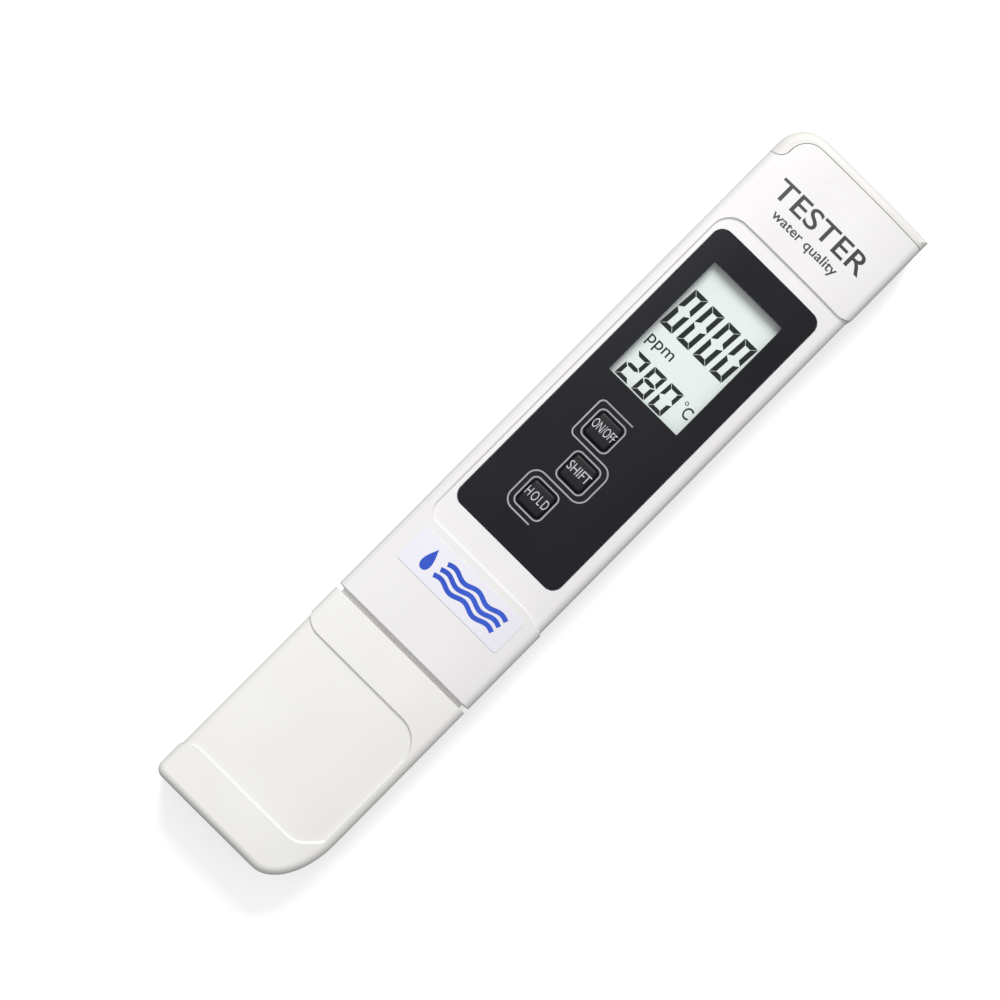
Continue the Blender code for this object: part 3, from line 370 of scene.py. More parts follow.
def finish(name, color, drift, rough, bump=0.1, grainScale=1500.0, driftScale=60.0, specks=0.0,
           speck=(0.3, 0.28, 0.26), metallic=0.0, coat=0.0, stretch=(1, 1, 1), glare=0.5, alpha=1.0):
    made = bpy.data.materials.new(name)
    made.use_nodes = True
    tree = made.node_tree
    shader = tree.nodes["Principled BSDF"]
    toned = added(tree, "Group", {"Color": (*color, 1), "Drift": (*drift, 1), "Speck": (*speck, 1),
                                  "Scale": driftScale, "Specks": specks}, node_tree=mottle)
    texture = added(tree, "Group", {"Scale": grainScale, "Rough Low": rough[0], "Rough High": rough[1],
                                    "Stretch": stretch}, node_tree=grain)
    relief = added(tree, "Bump", {"Strength": bump, "Distance": 0.02 * mm})
    wire(tree, (toned, "Color", shader, "Base Color"), (texture, "Roughness", shader, "Roughness"),
         (texture, "Height", relief, "Height"), (relief, "Normal", shader, "Normal"))
    constants(shader, {"Metallic": metallic, "Coat Weight": coat, "Coat Roughness": 0.12,
                       "Specular IOR Level": glare, "Alpha": alpha})
    finishes[name] = made
    return made


# a colour, the one it drifts to, the two ends of the roughness and the height of the grain
finish("caseWhite", (0.785, 0.77, 0.77), (0.765, 0.748, 0.748), (0.34, 0.44), 0.12, specks=0.5)
finish("rearWhite", (0.745, 0.733, 0.733), (0.725, 0.711, 0.711), (0.38, 0.48), 0.2, specks=0.5)
finish("capWhite", (0.815, 0.806, 0.785), (0.795, 0.784, 0.76), (0.3, 0.4), 0.1, specks=0.4)
finish("lidWhite", (0.735, 0.722, 0.695), (0.71, 0.695, 0.66), (0.34, 0.44), 0.12)
finish("panelBlack", (0.0085, 0.0085, 0.0125), (0.011, 0.011, 0.015), (0.34, 0.42), 0.16, 2600, glare=0.17)
finish("keyBlack", (0.006, 0.006, 0.0085), (0.009, 0.009, 0.012), (0.34, 0.44), 0.2, 2200, glare=0.3)
finish("inkSilver", (0.4, 0.395, 0.42), (0.3, 0.298, 0.32), (0.4, 0.5))
finish("inkKey", (0.64, 0.635, 0.66), (0.52, 0.515, 0.54), (0.4, 0.5))
finish("inkGrey", (0.03, 0.028, 0.034), (0.042, 0.04, 0.046), (0.45, 0.55))
finish("inkBlue", (0.014, 0.062, 0.5), (0.02, 0.085, 0.56), (0.3, 0.4))
finish("labelPale", (0.8, 0.785, 0.845), (0.77, 0.755, 0.82), (0.22, 0.3), 0.06, coat=0.2)
finish("lcdGrey", (0.8, 0.865, 0.835), (0.77, 0.84, 0.81), (0.18, 0.26), 0.05, driftScale=90.0)
finish("lcdInk", (0.004, 0.008, 0.01), (0.007, 0.012, 0.014), (0.3, 0.4), 0.05, glare=0.1)
finish("filmSilver", (0.6, 0.62, 0.62), (0.5, 0.52, 0.52), (0.25, 0.4), 0.2, metallic=0.7,
       stretch=(1, 12, 1))
finish("holderWhite", (0.7, 0.7, 0.67), (0.64, 0.64, 0.6), (0.45, 0.6), 0.3)
finish("stripRubber", (0.3, 0.1, 0.11), (0.2, 0.06, 0.07), (0.6, 0.75), 0.4, stretch=(14, 1, 1))
finish("boardGreen", (0.015, 0.14, 0.045), (0.01, 0.1, 0.03), (0.25, 0.4), 0.3, driftScale=300.0,
       specks=1.0, speck=(0.55, 0.45, 0.2))
finish("resinBlack", (0.008, 0.008, 0.009), (0.014, 0.014, 0.014), (0.12, 0.25), 0.3, 300)
finish("tinnedMetal", (0.62, 0.62, 0.6), (0.5, 0.5, 0.49), (0.22, 0.36), 0.25, metallic=1,
       stretch=(1, 10, 1))
finish("sleeveBlack", (0.015, 0.02, 0.05), (0.02, 0.026, 0.06), (0.25, 0.35))
finish("switchBlack", (0.02, 0.02, 0.02), (0.03, 0.03, 0.03), (0.4, 0.55), 0.2)
finish("plungerBrown", (0.15, 0.08, 0.04), (0.12, 0.06, 0.03), (0.4, 0.5), 0.2)
finish("trimmerBlue", (0.02, 0.09, 0.36), (0.015, 0.07, 0.3), (0.35, 0.45), 0.2)
finish("springNickel", (0.66, 0.63, 0.56), (0.55, 0.52, 0.46), (0.2, 0.32), 0.3, metallic=1,
       stretch=(1, 8, 1))
finish("cellSteel", (0.68, 0.68, 0.67), (0.58, 0.58, 0.57), (0.16, 0.3), 0.3, metallic=1, stretch=(10, 1, 1))
finish("screwZinc", (0.5, 0.5, 0.5), (0.38, 0.38, 0.38), (0.25, 0.42), 0.3, metallic=1.0)
finish("probeWhite", (0.8, 0.795, 0.785), (0.77, 0.76, 0.745), (0.36, 0.46), 0.15)
finish("pinMetal", (0.5, 0.49, 0.47), (0.42, 0.41, 0.4), (0.18, 0.32), 0.3, metallic=1.0, stretch=(1, 20, 1))
finish("leadRed", (0.4, 0.015, 0.015), (0.3, 0.01, 0.01), (0.35, 0.5))
finish("leadBlack", (0.012, 0.012, 0.012), (0.02, 0.02, 0.02), (0.35, 0.5))
finish("leadWhite", (0.72, 0.72, 0.7), (0.66, 0.66, 0.63), (0.35, 0.5))
finish("windowClear", (0.3, 0.32, 0.32), (0.26, 0.28, 0.28), (0.05, 0.09), 0.02, glare=0.16, alpha=0.03)
finish("gasketBlack", (0.015, 0.015, 0.015), (0.022, 0.022, 0.022), (0.5, 0.65), 0.2)
print("finishes ready:", len(finishes))


# the white shells
shell = sized({"roundSteps": 8}, topCorner=5.6, frontRound=1.5, rearRound=2.4, sideWall=1.2, rearWall=1.4,
              frontWall=1.8, edge=0.18, lidEdge=0.34, recessDepth=0.4, sideDepth=0.3, draft=0.28,
              seamGap=0.12, lipRise=1.2, splitGap=0.2, outside=0.1)
recess = sized(rail=2.2, top=20.3, length=71.8, topArc=3.6, bottomArc=2.4, flare=3.3)
thumb = sized(top=8.0, length=26.6, rail=1.8, arc=5.0, slantArc=1.2, slant=3.3, flare=4.0)
seam = sized(depth=1.85, cornerDepth=7.85, cornerWidth=2.4, outerArc=3.7, innerArc=2.0, plate=1.2)
cap = sized({"cornerSteps": 24}, cornerX=7.2, cornerY=12.0, smallCorner=1.7, endWall=1.5, rearRound=1.5)
past = 5 * mm                       # how far a cutter runs past what it cuts
sideX = high("front_cover").x
topY = high("battery_cover").y
caseEnd = low("front_cover").y
frontZ = high("front_cover").z
splitZ = high("rear_cover").z - shell["lipRise"]
capEnd, capMouth = low("protective_cap").y, high("protective_cap").y
innerX = sideX - shell["sideWall"]
ceiling = frontZ - shell["frontWall"]
recessFloor = frontZ - shell["recessDepth"]


def caseLine(rightInset=0.0):
    return drawn([(-sideX, caseEnd), (sideX - rightInset, caseEnd), (sideX - rightInset, topY),
                  (-sideX, topY, shell["topCorner"])])


def capLine(inset=0.0, endInset=0.0, leftInset=0.0, mouth=None):
    mouth = capMouth if mouth is None else mouth
    left, right, end = -sideX + inset + leftInset, sideX - inset, capEnd + endInset
    return drawn([(left, mouth), (left, end, cap["smallCorner"]),
                  (right, end, cap["cornerX"] - inset, cap["cornerY"] - endInset), (right, mouth)],
                 cap["cornerSteps"])


def lidLine(inset):
    x = -sideX + seam["cornerWidth"] + inset
    upper, lower = topY - seam["depth"] - inset, topY - seam["cornerDepth"] - inset
    return drawn([(sideX + past, upper), (sideX + past, topY + past), (-sideX - past, topY + past),
                  (-sideX - past, lower), (x, lower, seam["innerArc"] + inset),
                  (x, upper, seam["outerArc"] - inset)])


def recessLine(grow=0.0):
    left, right = -sideX + recess["rail"] - grow, sideX + shell["sideDepth"] + shell["outside"]
    upper = topY - recess["top"]
    lower = upper - recess["length"] - grow
    far = upper + 2 * recess["flare"]
    upper += grow
    return drawn([(right, far), (right, upper, recess["flare"] - grow),
                  (left, upper, recess["topArc"] + grow), (left, lower, recess["bottomArc"] + grow),
                  (sideX - recess["topArc"], lower, 3 * recess["flare"]),
                  (sideX + past, lower - recess["flare"]), (sideX + past, far)])


def thumbLine(grow=0.0):
    right, left = sideX - thumb["rail"] + grow, -sideX - shell["sideDepth"] - shell["outside"]
    upper = capMouth - thumb["top"] + grow
    lower, spread = upper - thumb["length"] - 2 * grow, 2 * thumb["flare"]
    return drawn([(left, upper + spread), (-sideX - past, upper + spread),
                  (-sideX - past, lower - spread), (left, lower - spread),
                  (left, lower, thumb["flare"] - grow),
                  (right - thumb["slant"], lower, thumb["flare"] + grow),
                  (right, lower + thumb["slant"], thumb["slantArc"] + grow),
                  (right, upper, thumb["arc"] + grow), (left, upper, thumb["flare"] - grow)])


def penShape(name, points, bottom, top, frontRound=0.0, rearRound=0.0, squareEnd=None):
    shape = extruded(points, bottom, top)
    if frontRound > 0.0:
        roundRim(shape, top, frontRound, shell["roundSteps"], squareEnd)
    if rearRound > 0.0:
        roundRim(shape, bottom, rearRound, shell["roundSteps"], squareEnd)
    return piece(name, shape)


def stepTool(name, line, core):
    # the wall of the step leans out, so that it catches the light softly
    wide = line(shell["draft"])
    levels = [(line(), -past), (line(), recessFloor), (wide, frontZ), (wide, frontZ + past)]
    return carve(piece(name, stacked(levels)), [core])


def hollowTool():
    end = topY - seam["plate"]
    line = drawn([(-innerX, caseEnd - past), (innerX, caseEnd - past), (innerX, end),
                  (-innerX, end, shell["topCorner"] - shell["sideWall"])])
    return piece("hollow", extruded(line, shell["rearWall"], ceiling))


def lidTool(gap=0.0):
    return piece("lidRegion", extruded(lidLine(gap), -past, frontZ + past))


def wellTool(name, node, width, length, bottom, corner=0.0, steps=8):
    # cuts straight down through the front, to a height, round the middle of a node
    return piece(name, extruded(oblong(middle(node), width, length, corner, steps), bottom, frontZ + past))


def pole(name, node, bottom, top, radius, sides=48):
    # a rod along Z through the middle of a node
    spot = middle(node)
    return rod(name, (spot.x, spot.y, bottom), (spot.x, spot.y, top), radius, sides)


def caseStep():
    core = penShape("core", caseLine(shell["sideDepth"]), -2 * past, recessFloor, shell["frontRound"],
                    squareEnd=caseEnd)
    return stepTool("recess", recessLine, core)


screws = {number: f"case_screw_{number}" for number in range(1, 5)}
boss = sized(front=2.5, rear=2.9, rearTop=4.6, gap=0.3, sink=0.4, pilot=1.05, seat=2.6, headHole=2.15,
             shankHole=1.15, shankPast=1)
panelHole = sized({"cornerSteps": 12}, gap=0.15, corner=2.15, glue=0.1, lensGap=0.2, keyGap=0.4,
                  keyCorner=0.9, keyDepth=2)
keyNames = ("on_off", "shift", "hold")
keyWidth = 5.0 * mm


def frontShell():
    made = penShape("frontShell", caseLine(), splitZ, frontZ, shell["frontRound"], squareEnd=caseEnd)
    carve(made, [caseStep(), hollowTool(), lidTool(shell["seamGap"])])
    foot, root = boss["rearTop"] + boss["gap"], ceiling + boss["sink"]
    carve(made, [pole(f"post{number}", node, foot, root, boss["front"])
                 for number, node in screws.items()], "UNION")
    plate, lens = span("control_panel"), span("display_window")
    gap, lensGap = 2 * panelHole["gap"], 2 * panelHole["lensGap"]
    wide = keyWidth + 2 * panelHole["keyGap"]
    seat = low("control_panel").z - panelHole["glue"]
    tools = [wellTool("pocket", "control_panel", plate.x + gap, plate.y + gap, seat,
                      panelHole["corner"], panelHole["cornerSteps"]),
             wellTool("lensHole", "display_window", lens.x + lensGap, lens.y + lensGap, ceiling - past)]
    tools += [wellTool("keyHole" + name, "key_" + name, wide, wide, ceiling - panelHole["keyDepth"],
                       panelHole["keyCorner"]) for name in keyNames]
    tools += [pole(f"pilot{number}", node, 0.0, high(node).z + boss["gap"], boss["pilot"], 24)
              for number, node in screws.items()]
    carve(made, tools)
    return soften(crowned(made), shell["edge"])


# the rear shell's lip, inside the front one: distances from the inner wall, the split and the two ends
rail = sized(lip=0.3, inner=0.9, root=0.4, shelf=1, foot=2, start=11.1, end=25.2)


def railProfile(side):
    inner, lip, root = innerX - rail["inner"], innerX - rail["lip"], innerX + rail["root"]
    foot, shelf, top = splitZ - rail["foot"], splitZ - rail["shelf"], splitZ + shell["lipRise"]
    spots = [(inner, foot), (root, foot), (root, shelf), (lip, shelf), (lip, top), (inner, top)]
    shape = extruded([Vector((side * x, y)) for x, y in spots], caseEnd + rail["start"], topY - rail["end"])
    swapped = Matrix(((1, 0, 0, 0), (0, 0, 1, 0), (0, 1, 0, 0), (0, 0, 0, 1)))
    bmesh.ops.transform(shape, matrix=swapped, verts=shape.verts)
    bmesh.ops.recalc_face_normals(shape, faces=shape.faces)
    return piece("rail", shape)


trimmerHole = sized(radius=1.75, top=2)


def rearShell():
    made = penShape("rearShell", caseLine(), 0.0, splitZ - shell["splitGap"], rearRound=shell["rearRound"],
                    squareEnd=caseEnd)
    carve(made, [caseStep(), hollowTool(), lidTool(shell["seamGap"])])
    grown = [railProfile(-1), railProfile(1)]
    tools = []
    root, top = shell["rearWall"] - boss["sink"], boss["rearTop"]
    for number, node in screws.items():
        grown.append(pole(f"seat{number}", node, root, top, boss["rear"]))
        tools.append(pole(f"head{number}", node, -past, boss["seat"], boss["headHole"]))
        tools.append(pole(f"shank{number}", node, 0.0, top + boss["shankPast"], boss["shankHole"], 24))
    tools.append(pole("trimmerHole", "trimmer_rotor", -past, trimmerHole["top"], trimmerHole["radius"]))
    carve(made, grown, "UNION")
    carve(made, tools)
    return soften(made, shell["edge"])


def batteryLid():
    made = penShape("batteryLid", caseLine(), 0.0, frontZ, shell["frontRound"], shell["rearRound"], caseEnd)
    carve(made, [lidTool()], "INTERSECT")
    carve(made, [hollowTool()])
    return soften(crowned(made), shell["lidEdge"], 5)


def capShell():
    made = penShape("capShell", capLine(), 0.0, frontZ, shell["frontRound"], cap["rearRound"], capMouth)
    core = penShape("capCore", capLine(leftInset=shell["sideDepth"]), -2 * past, recessFloor,
                    shell["frontRound"], squareEnd=capMouth)
    inside = piece("inside", extruded(capLine(shell["sideWall"], cap["endWall"], mouth=capMouth + past),
                                      shell["rearWall"], ceiling))
    carve(made, [stepTool("thumbStep", thumbLine, core), inside])
    return soften(crowned(made), shell["edge"])


fitted(frontShell(), "caseWhite", "case", "case_white", "front_cover")
print("front shell made")
fitted(rearShell(), "rearWhite", "case", "case_white", "rear_cover")
print("rear shell made")
fitted(batteryLid(), "lidWhite", "battery_drawer", "case_white", "battery_cover")
fitted(capShell(), "capWhite", "cap", "cap_white", "protective_cap")
print("cap and battery lid made")


# the black panel, the keys and their print
panel = sized({"cornerSteps": 12}, corner=2.0, border=0.85, windowCorner=0.15, wellGap=0.18,
              wellCorner=0.9, edge=0.08)
keys = sized({"edgeSteps": 6, "ringSteps": 10, "wordWeight": -0.006}, corner=0.7, edge=0.62, foot=0.1,
             flange=0.8, flangeCorner=0.9, ring=6.15, ringCorner=1.25, ringLine=0.26, ink=0.012,
             inkSink=0.002, wordUp=0.15, wordHeight=1.75)


def panelPlate():
    plate, lens = span("control_panel"), span("display_window")
    line = oblong(middle("control_panel"), plate.x, plate.y, panel["corner"], panel["cornerSteps"])
    made = piece("panelPlate", extruded(line, low("control_panel").z, high("control_panel").z))
    border, wide = 2 * panel["border"], keyWidth + panel["wellGap"]
    tools = [wellTool("window", "display_window", lens.x - border, lens.y - border, 0.0,
                      panel["windowCorner"], 4)]
    tools += [wellTool("keyWell" + name, "key_" + name, wide, wide, 0.0, panel["wellCorner"], 10)
              for name in keyNames]
    carve(made, tools)
    return soften(crowned(made), panel["edge"], 2)


def keyCap(name):
    node = "key_" + name
    spot, wide, bottom, top = middle(node), span(node).x, low(node).z, high(node).z
    shape = extruded(oblong(spot, keyWidth, keyWidth, keys["corner"]), bottom + keys["foot"], top)
    roundRim(shape, top, keys["edge"], keys["edgeSteps"])
    made = piece("keyCap_" + name, shape)
    flange = extruded(oblong(spot, wide, wide, keys["flangeCorner"]), bottom, bottom + keys["flange"])
    carve(made, [piece("flange", flange)], "UNION")
    return smooth(made, 40)


def printedRing(name, spot, width, corner, line, bottom):
    shape = bmesh.new()
    face = flatFace(shape, oblong(spot, width, width, corner, keys["ringSteps"]), bottom)
    shape.normal_update()
    bmesh.ops.inset_region(shape, faces=[face], thickness=line, use_even_offset=True, use_boundary=True)
    bmesh.ops.delete(shape, geom=[face], context="FACES_ONLY")
    grow(shape, shape.faces[:], keys["ink"])
    bmesh.ops.recalc_face_normals(shape, faces=shape.faces)
    return piece(name, shape)


def stroke(path, width):
    # the outline of a line of that width along an open path
    leftSide, rightSide = [], []
    for index, point in enumerate(path):
        before, after = path[max(index - 1, 0)], path[min(index + 1, len(path) - 1)]
        along = (after - before).normalized()
        across = Vector((-along.y, along.x)) * width / 2
        leftSide.append(point + across)
        rightSide.append(point - across)
    return leftSide + rightSide[::-1]


def printed(name, points, bottom, thickness):
    return piece(name, extruded(points, bottom, bottom + thickness))


def lettering(name, words, centre, width, height, bottom, thickness, weight=0.0, spacing=1.0):
    # text turned into a mesh, then stretched to the space that it fills
    text = bpy.data.curves.new(name, "FONT")
    text.body = words
    text.offset = weight
    text.space_character = spacing
    text.resolution_u = 6
    text.fill_mode = "BOTH"
    text.extrude = 0.5
    holder = bpy.data.objects.new(name + "Text", text)
    bench.objects.link(holder)
    mesh = bpy.data.meshes.new_from_object(holder.evaluated_get(bpy.context.evaluated_depsgraph_get()))
    bpy.data.objects.remove(holder)
    shape = bmesh.new()
    shape.from_mesh(mesh)
    bmesh.ops.remove_doubles(shape, verts=shape.verts, dist=1e-5)
    lowest = Vector([min(v.co[i] for v in shape.verts) for i in range(3)])
    highest = Vector([max(v.co[i] for v in shape.verts) for i in range(3)])
    extent = highest - lowest
    bmesh.ops.translate(shape, verts=shape.verts, vec=-(lowest + highest) / 2)
    bmesh.ops.scale(shape, verts=shape.verts,
                    vec=(width / extent.x, height / extent.y, thickness / extent.z))
    bmesh.ops.translate(shape, verts=shape.verts, vec=(centre[0], centre[1], bottom + thickness / 2))
    bmesh.ops.recalc_face_normals(shape, faces=shape.faces)
    return piece(name, shape)


fitted(panelPlate(), "panelBlack", "case", "panel_black", "control_panel")
panelTop = high("control_panel").z
keyWords = {"on_off": ("ON/OFF", 4.8 * mm, 1.0), "shift": ("SHIFT", 4.6 * mm, 1.0),
            "hold": ("HOLD", 4.6 * mm, 1.25)}
for name, (words, wide, spacing) in keyWords.items():
    node = "key_" + name
    spot = middle(node)
    fitted(keyCap(name), "keyBlack", node, "key_black", node)
    legend = lettering("keyWord_" + name, words, (spot.x, spot.y + keys["wordUp"]), wide,
                       keys["wordHeight"], high(node).z - keys["inkSink"], keys["ink"], keys["wordWeight"],
                       spacing)
    fitted(legend, "inkKey", node, "key_black")
    ring = printedRing("keyRing_" + name, spot, keys["ring"], keys["ringCorner"], keys["ringLine"], panelTop)
    fitted(crowned(ring), "inkSilver", "case", "panel_black")

winding = sized({"turnSteps": 10}, out=3.98, over=0.2, corner=1.0, turn=2.0, start=3.0, end=2.1,
                line=0.27)


def serpentine():
    # one line that winds round the three keys
    one, two, three = (middle("key_" + name) for name in keyNames)
    out, corner, turn = winding["out"], winding["corner"], winding["turn"]
    over = two.x + out + winding["over"]
    upper, lower = (one.y + two.y) / 2, (two.y + three.y) / 2
    stops = [(one.x + winding["start"], one.y + out), (one.x - out, one.y + out, corner),
             (one.x - out, upper, corner), (over, upper, turn), (over, lower, turn),
             (three.x - out, lower, turn), (three.x - out, three.y - out, turn),
             (three.x + winding["end"], three.y - out)]
    path = [Vector(stops[0])]
    for index in range(1, len(stops) - 1):
        here = Vector(stops[index][:2])
        before, after = Vector(stops[index - 1][:2]) - here, Vector(stops[index + 1][:2]) - here
        path += [here + p for p in arc(before, after, stops[index][2], winding["turnSteps"])]
    return path + [Vector(stops[-1])]


keyLine = printed("keyLine", stroke(serpentine(), winding["line"]), panelTop, keys["ink"])
fitted(crowned(keyLine), "inkSilver", "case", "panel_black")
print("panel and keys made")


# the display, with its places measured from the middle of the window
display = sized({"lean": 0.067, "sideCut": 0.75, "tipCut": 0.3, "tipGap": 0.6}, gap=0.05, ink=0.01)
segments = {"0": "abcdef", "2": "abged", "8": "abcdefg"}
figures = {
    "bigDigits": sized({"words": "0000"}, x=-7.5, y=-0.95, width=2.95, height=8.36, line=0.9, pitch=3.9),
    "smallDigits": sized({"words": "280"}, x=-6.93, y=-12.3, width=3.0, height=5.5, line=0.74, pitch=3.87),
}
units = {
    "unitWord": sized({"words": "ppm", "weight": 0.004}, x=-4.25, y=-4.2, width=5.5, height=2.25),
    "degreeLetter": sized({"words": "C", "weight": 0.01}, x=6.7, y=-8.6, width=1.55, height=2.2),
}
degree = sized(x=5.5, y=-7.45, width=0.72, corner=0.35, line=0.14)


def inWindow(thing):
    spot = middle("display_window")
    return spot.x + thing["x"], spot.y + thing["y"]


def segmentBars(right, top, s):
    # the seven bars, s wide, of a digit whose lower left corner is the origin
    g, half = display["gap"], top / 2
    cut, tip, slack = s * display["sideCut"], s * display["tipCut"], g * display["tipGap"]
    return {
        "a": [(g, top), (right - g, top), (right - s - g, top - s), (s + g, top - s)],
        "d": [(g, 0), (right - g, 0), (right - s - g, s), (s + g, s)],
        "f": [(0, top - g), (s, top - s - g), (s, half + cut), (0, half + g)],
        "e": [(0, g), (s, s + g), (s, half - cut), (0, half - g)],
        "b": [(right, top - g), (right - s, top - s - g), (right - s, half + cut), (right, half + g)],
        "c": [(right, g), (right - s, s + g), (right - s, half - cut), (right, half - g)],
        "g": [(g + tip, half), (s + slack, half + s / 2), (right - s - slack, half + s / 2),
              (right - g - tip, half), (right - s - slack, half - s / 2), (s + slack, half - s / 2)],
    }


def digits(name, figure):
    shape = bmesh.new()
    bars = segmentBars(figure["width"], figure["height"], figure["line"])
    left, foot = inWindow(figure)
    for place, character in enumerate(figure["words"]):
        for bar in segments[character]:
            points = [(left + place * figure["pitch"] + x + y * display["lean"], foot + y)
                      for x, y in bars[bar]]
            grow(shape, [flatFace(shape, points, glassTop)], display["ink"])
    bmesh.ops.recalc_face_normals(shape, faces=shape.faces)
    return piece(name, shape)


glassTop = high("lcd_glass").z
shown = [digits(name, figure) for name, figure in figures.items()]
for name, unit in units.items():
    shown.append(lettering(name, unit["words"], inWindow(unit), unit["width"], unit["height"], glassTop,
                           display["ink"], unit["weight"]))
shown.append(printedRing("degreeRing", inWindow(degree), degree["width"], degree["corner"], degree["line"],
                         glassTop))
for made in shown:
    fitted(made, "lcdInk", "case", "lcd_glass")
print("display made")


# the label and the print above the panel
label = sized(corner=0.6, foot=0.004, top=0.09, edge=0.03)
mark = sized({"waves": 3, "spread": 0.33, "turns": 2.5, "waveSteps": 60,
              "dropWidth": 0.62, "dropTaper": 1.4, "dropSteps": 40},
             width=18.2, height=4.4, ink=0.01, line=0.86, swing=0.36, waveStart=4.6, waveSlip=0.25,
             dropPlace=1.9)
title = sized(sink=0.002, thickness=0.014)
titles = {"headline": ("TESTER", (0.3 * mm, topY - 11.45 * mm), 20.4 * mm, 3.75 * mm, 0.008),
          "subline": ("water quality", (0.1 * mm, topY - 15.6 * mm), 14.6 * mm, 2.35 * mm, 0.012)}


def labelSheet():
    size = span("front_label")
    line = oblong(middle("front_label"), size.x, size.y, label["corner"])
    made = piece("labelSheet", extruded(line, frontZ + label["foot"], frontZ + label["top"]))
    return soften(crowned(made), label["edge"], 2)


def wavePath(start, end, y):
    path = []
    for i in range(mark["waveSteps"] + 1):
        t = i / mark["waveSteps"]
        rise = mark["swing"] * math.sin(2 * math.pi * mark["turns"] * t)
        path.append(Vector((start + (end - start) * t, y + rise)))
    return path


def dropLine(spot, size):
    # a water drop: round below, drawn to a point above
    points = []
    for i in range(mark["dropSteps"]):
        a = 2 * math.pi * i / mark["dropSteps"]
        across = size * mark["dropWidth"] * math.sin(a) * math.sin(a / 2) ** mark["dropTaper"]
        points.append(Vector((spot[0] + across, spot[1] + size * math.cos(a))))
    return points


fitted(labelSheet(), "labelPale", "case", "label_pale", "front_label")
labelSpot = middle("front_label")
left = labelSpot.x - mark["width"] / 2
marks = {}
for row in range(mark["waves"]):
    slip = row * mark["waveSlip"]
    path = wavePath(left + mark["waveStart"] - slip, left + mark["width"] - slip,
                    labelSpot.y + (1 - row) * mark["height"] * mark["spread"])
    marks[f"labelWave{row + 1}"] = stroke(path, mark["line"])
marks["labelDrop"] = dropLine((left + mark["dropPlace"], labelSpot.y), mark["height"] / 2)
for name, points in marks.items():
    made = printed(name, points, frontZ + label["top"], mark["ink"])
    fitted(crowned(made), "inkBlue", "case", "label_pale")
for name, (words, place, wide, tall, weight) in titles.items():
    made = lettering(name, words, place, wide, tall, frontZ - title["sink"], title["thickness"], weight)
    fitted(crowned(made), "inkGrey", "case", "case_white")
print("label and print made")


# the probe
probe = sized(neck=13.4, neckEdge=1.2, overlap=0.4, edge=0.18, tipX=8.0, tipZ=4.2, tipEdge=2.0,
              shoulderX=13.75, shoulderFoot=0.8, shoulderDrop=1.25, shoulderGap=0.05, shoulderEdge=1.3,
              slotX=4.8, slotDepth=10.0, channelX=5.3, channelZ=2.6, channelStart=1.0, holeStart=1,
              holeEnd=2, bossHole=3.2)
pinHoles = {1: (-3.0 * mm, 0.7 * mm), 2: (0.0, 1.0 * mm), 3: (3.0 * mm, 0.7 * mm)}


def probeBody():
    bottom, top = low("probe_housing"), high("probe_housing")
    neckEnd, root = caseEnd - probe["neck"], bottom.y + probe["slotDepth"]
    midZ = (bottom.z + top.z) / 2
    tipX, tipZ, slotX = probe["tipX"], probe["tipZ"], probe["slotX"]
    channelX, channelZ, shoulderX = probe["channelX"], probe["channelZ"], probe["shoulderX"]
    made = block("probeBody", (bottom.x, neckEnd, bottom.z), top, probe["neckEdge"], 6, 1)
    tip = block("tip", (-tipX, bottom.y, midZ - tipZ), (tipX, neckEnd + probe["overlap"], midZ + tipZ),
                probe["tipEdge"], 8, 1)
    shoulder = block("shoulder", (-shoulderX, capMouth + probe["shoulderGap"], probe["shoulderFoot"]),
                     (shoulderX, caseEnd + probe["overlap"], frontZ - probe["shoulderDrop"]),
                     probe["shoulderEdge"], 6, 1)
    carve(made, [tip, shoulder], "UNION")
    tools = [block("slot", (-slotX, bottom.y - past, -past), (slotX, root, frontZ + past)),
             block("channel", (-channelX, neckEnd + probe["channelStart"], midZ - channelZ),
                   (channelX, top.y + past, midZ + channelZ))]
    start, end = root - probe["holeStart"], neckEnd + probe["holeEnd"]
    tools += [rod(f"hole{number}", (x, start, midZ), (x, end, midZ), radius, 32)
              for number, (x, radius) in pinHoles.items()]
    tools += [pole(f"bossHole{number}", screws[number], -past, frontZ + past, probe["bossHole"])
              for number in (3, 4)]
    carve(made, tools)
    return soften(crowned(made), probe["edge"])


fitted(probeBody(), "probeWhite", "case", "probe_white", "probe_housing")
for node in ("electrode_pin_left", "electrode_pin_right", "temperature_sensor"):
    spot, radius = middle(node), span(node).x / 2
    made = rod("shaped_" + node, (spot.x, high(node).y, spot.z), (spot.x, low(node).y, spot.z), radius, 40,
               radius * 0.8, 8)
    fitted(smooth(made), "pinMetal", "case", "pin_metal", node)
print("probe made")


# the battery drawer, with a cell's outlines as millimetres in from its side and down from its top
cell = {
    "rim": 0.45 * mm, "roll": 0.7 * mm, "shoulder": 1.1 * mm,
    "mouth": ((0.95, 0.4), (0.95, 0.9)),
    "ring": ((1.4, 0.88), (0.97, 0.88), (0.97, 0.45), (1.4, 0.38), (1.4, 0.88)),
    "plate": ((1.42, 0.87), (1.42, 0.22), (1.64, 0.0)),
}
tray = sized(corner=0.3, cellGap=0.2, floor=0.1, edge=0.12, linkGap=0.2, linkFoot=0.02, linkTop=0.7,
             notch=3.2, notchUp=0.6, notchOut=2, notchIn=3)


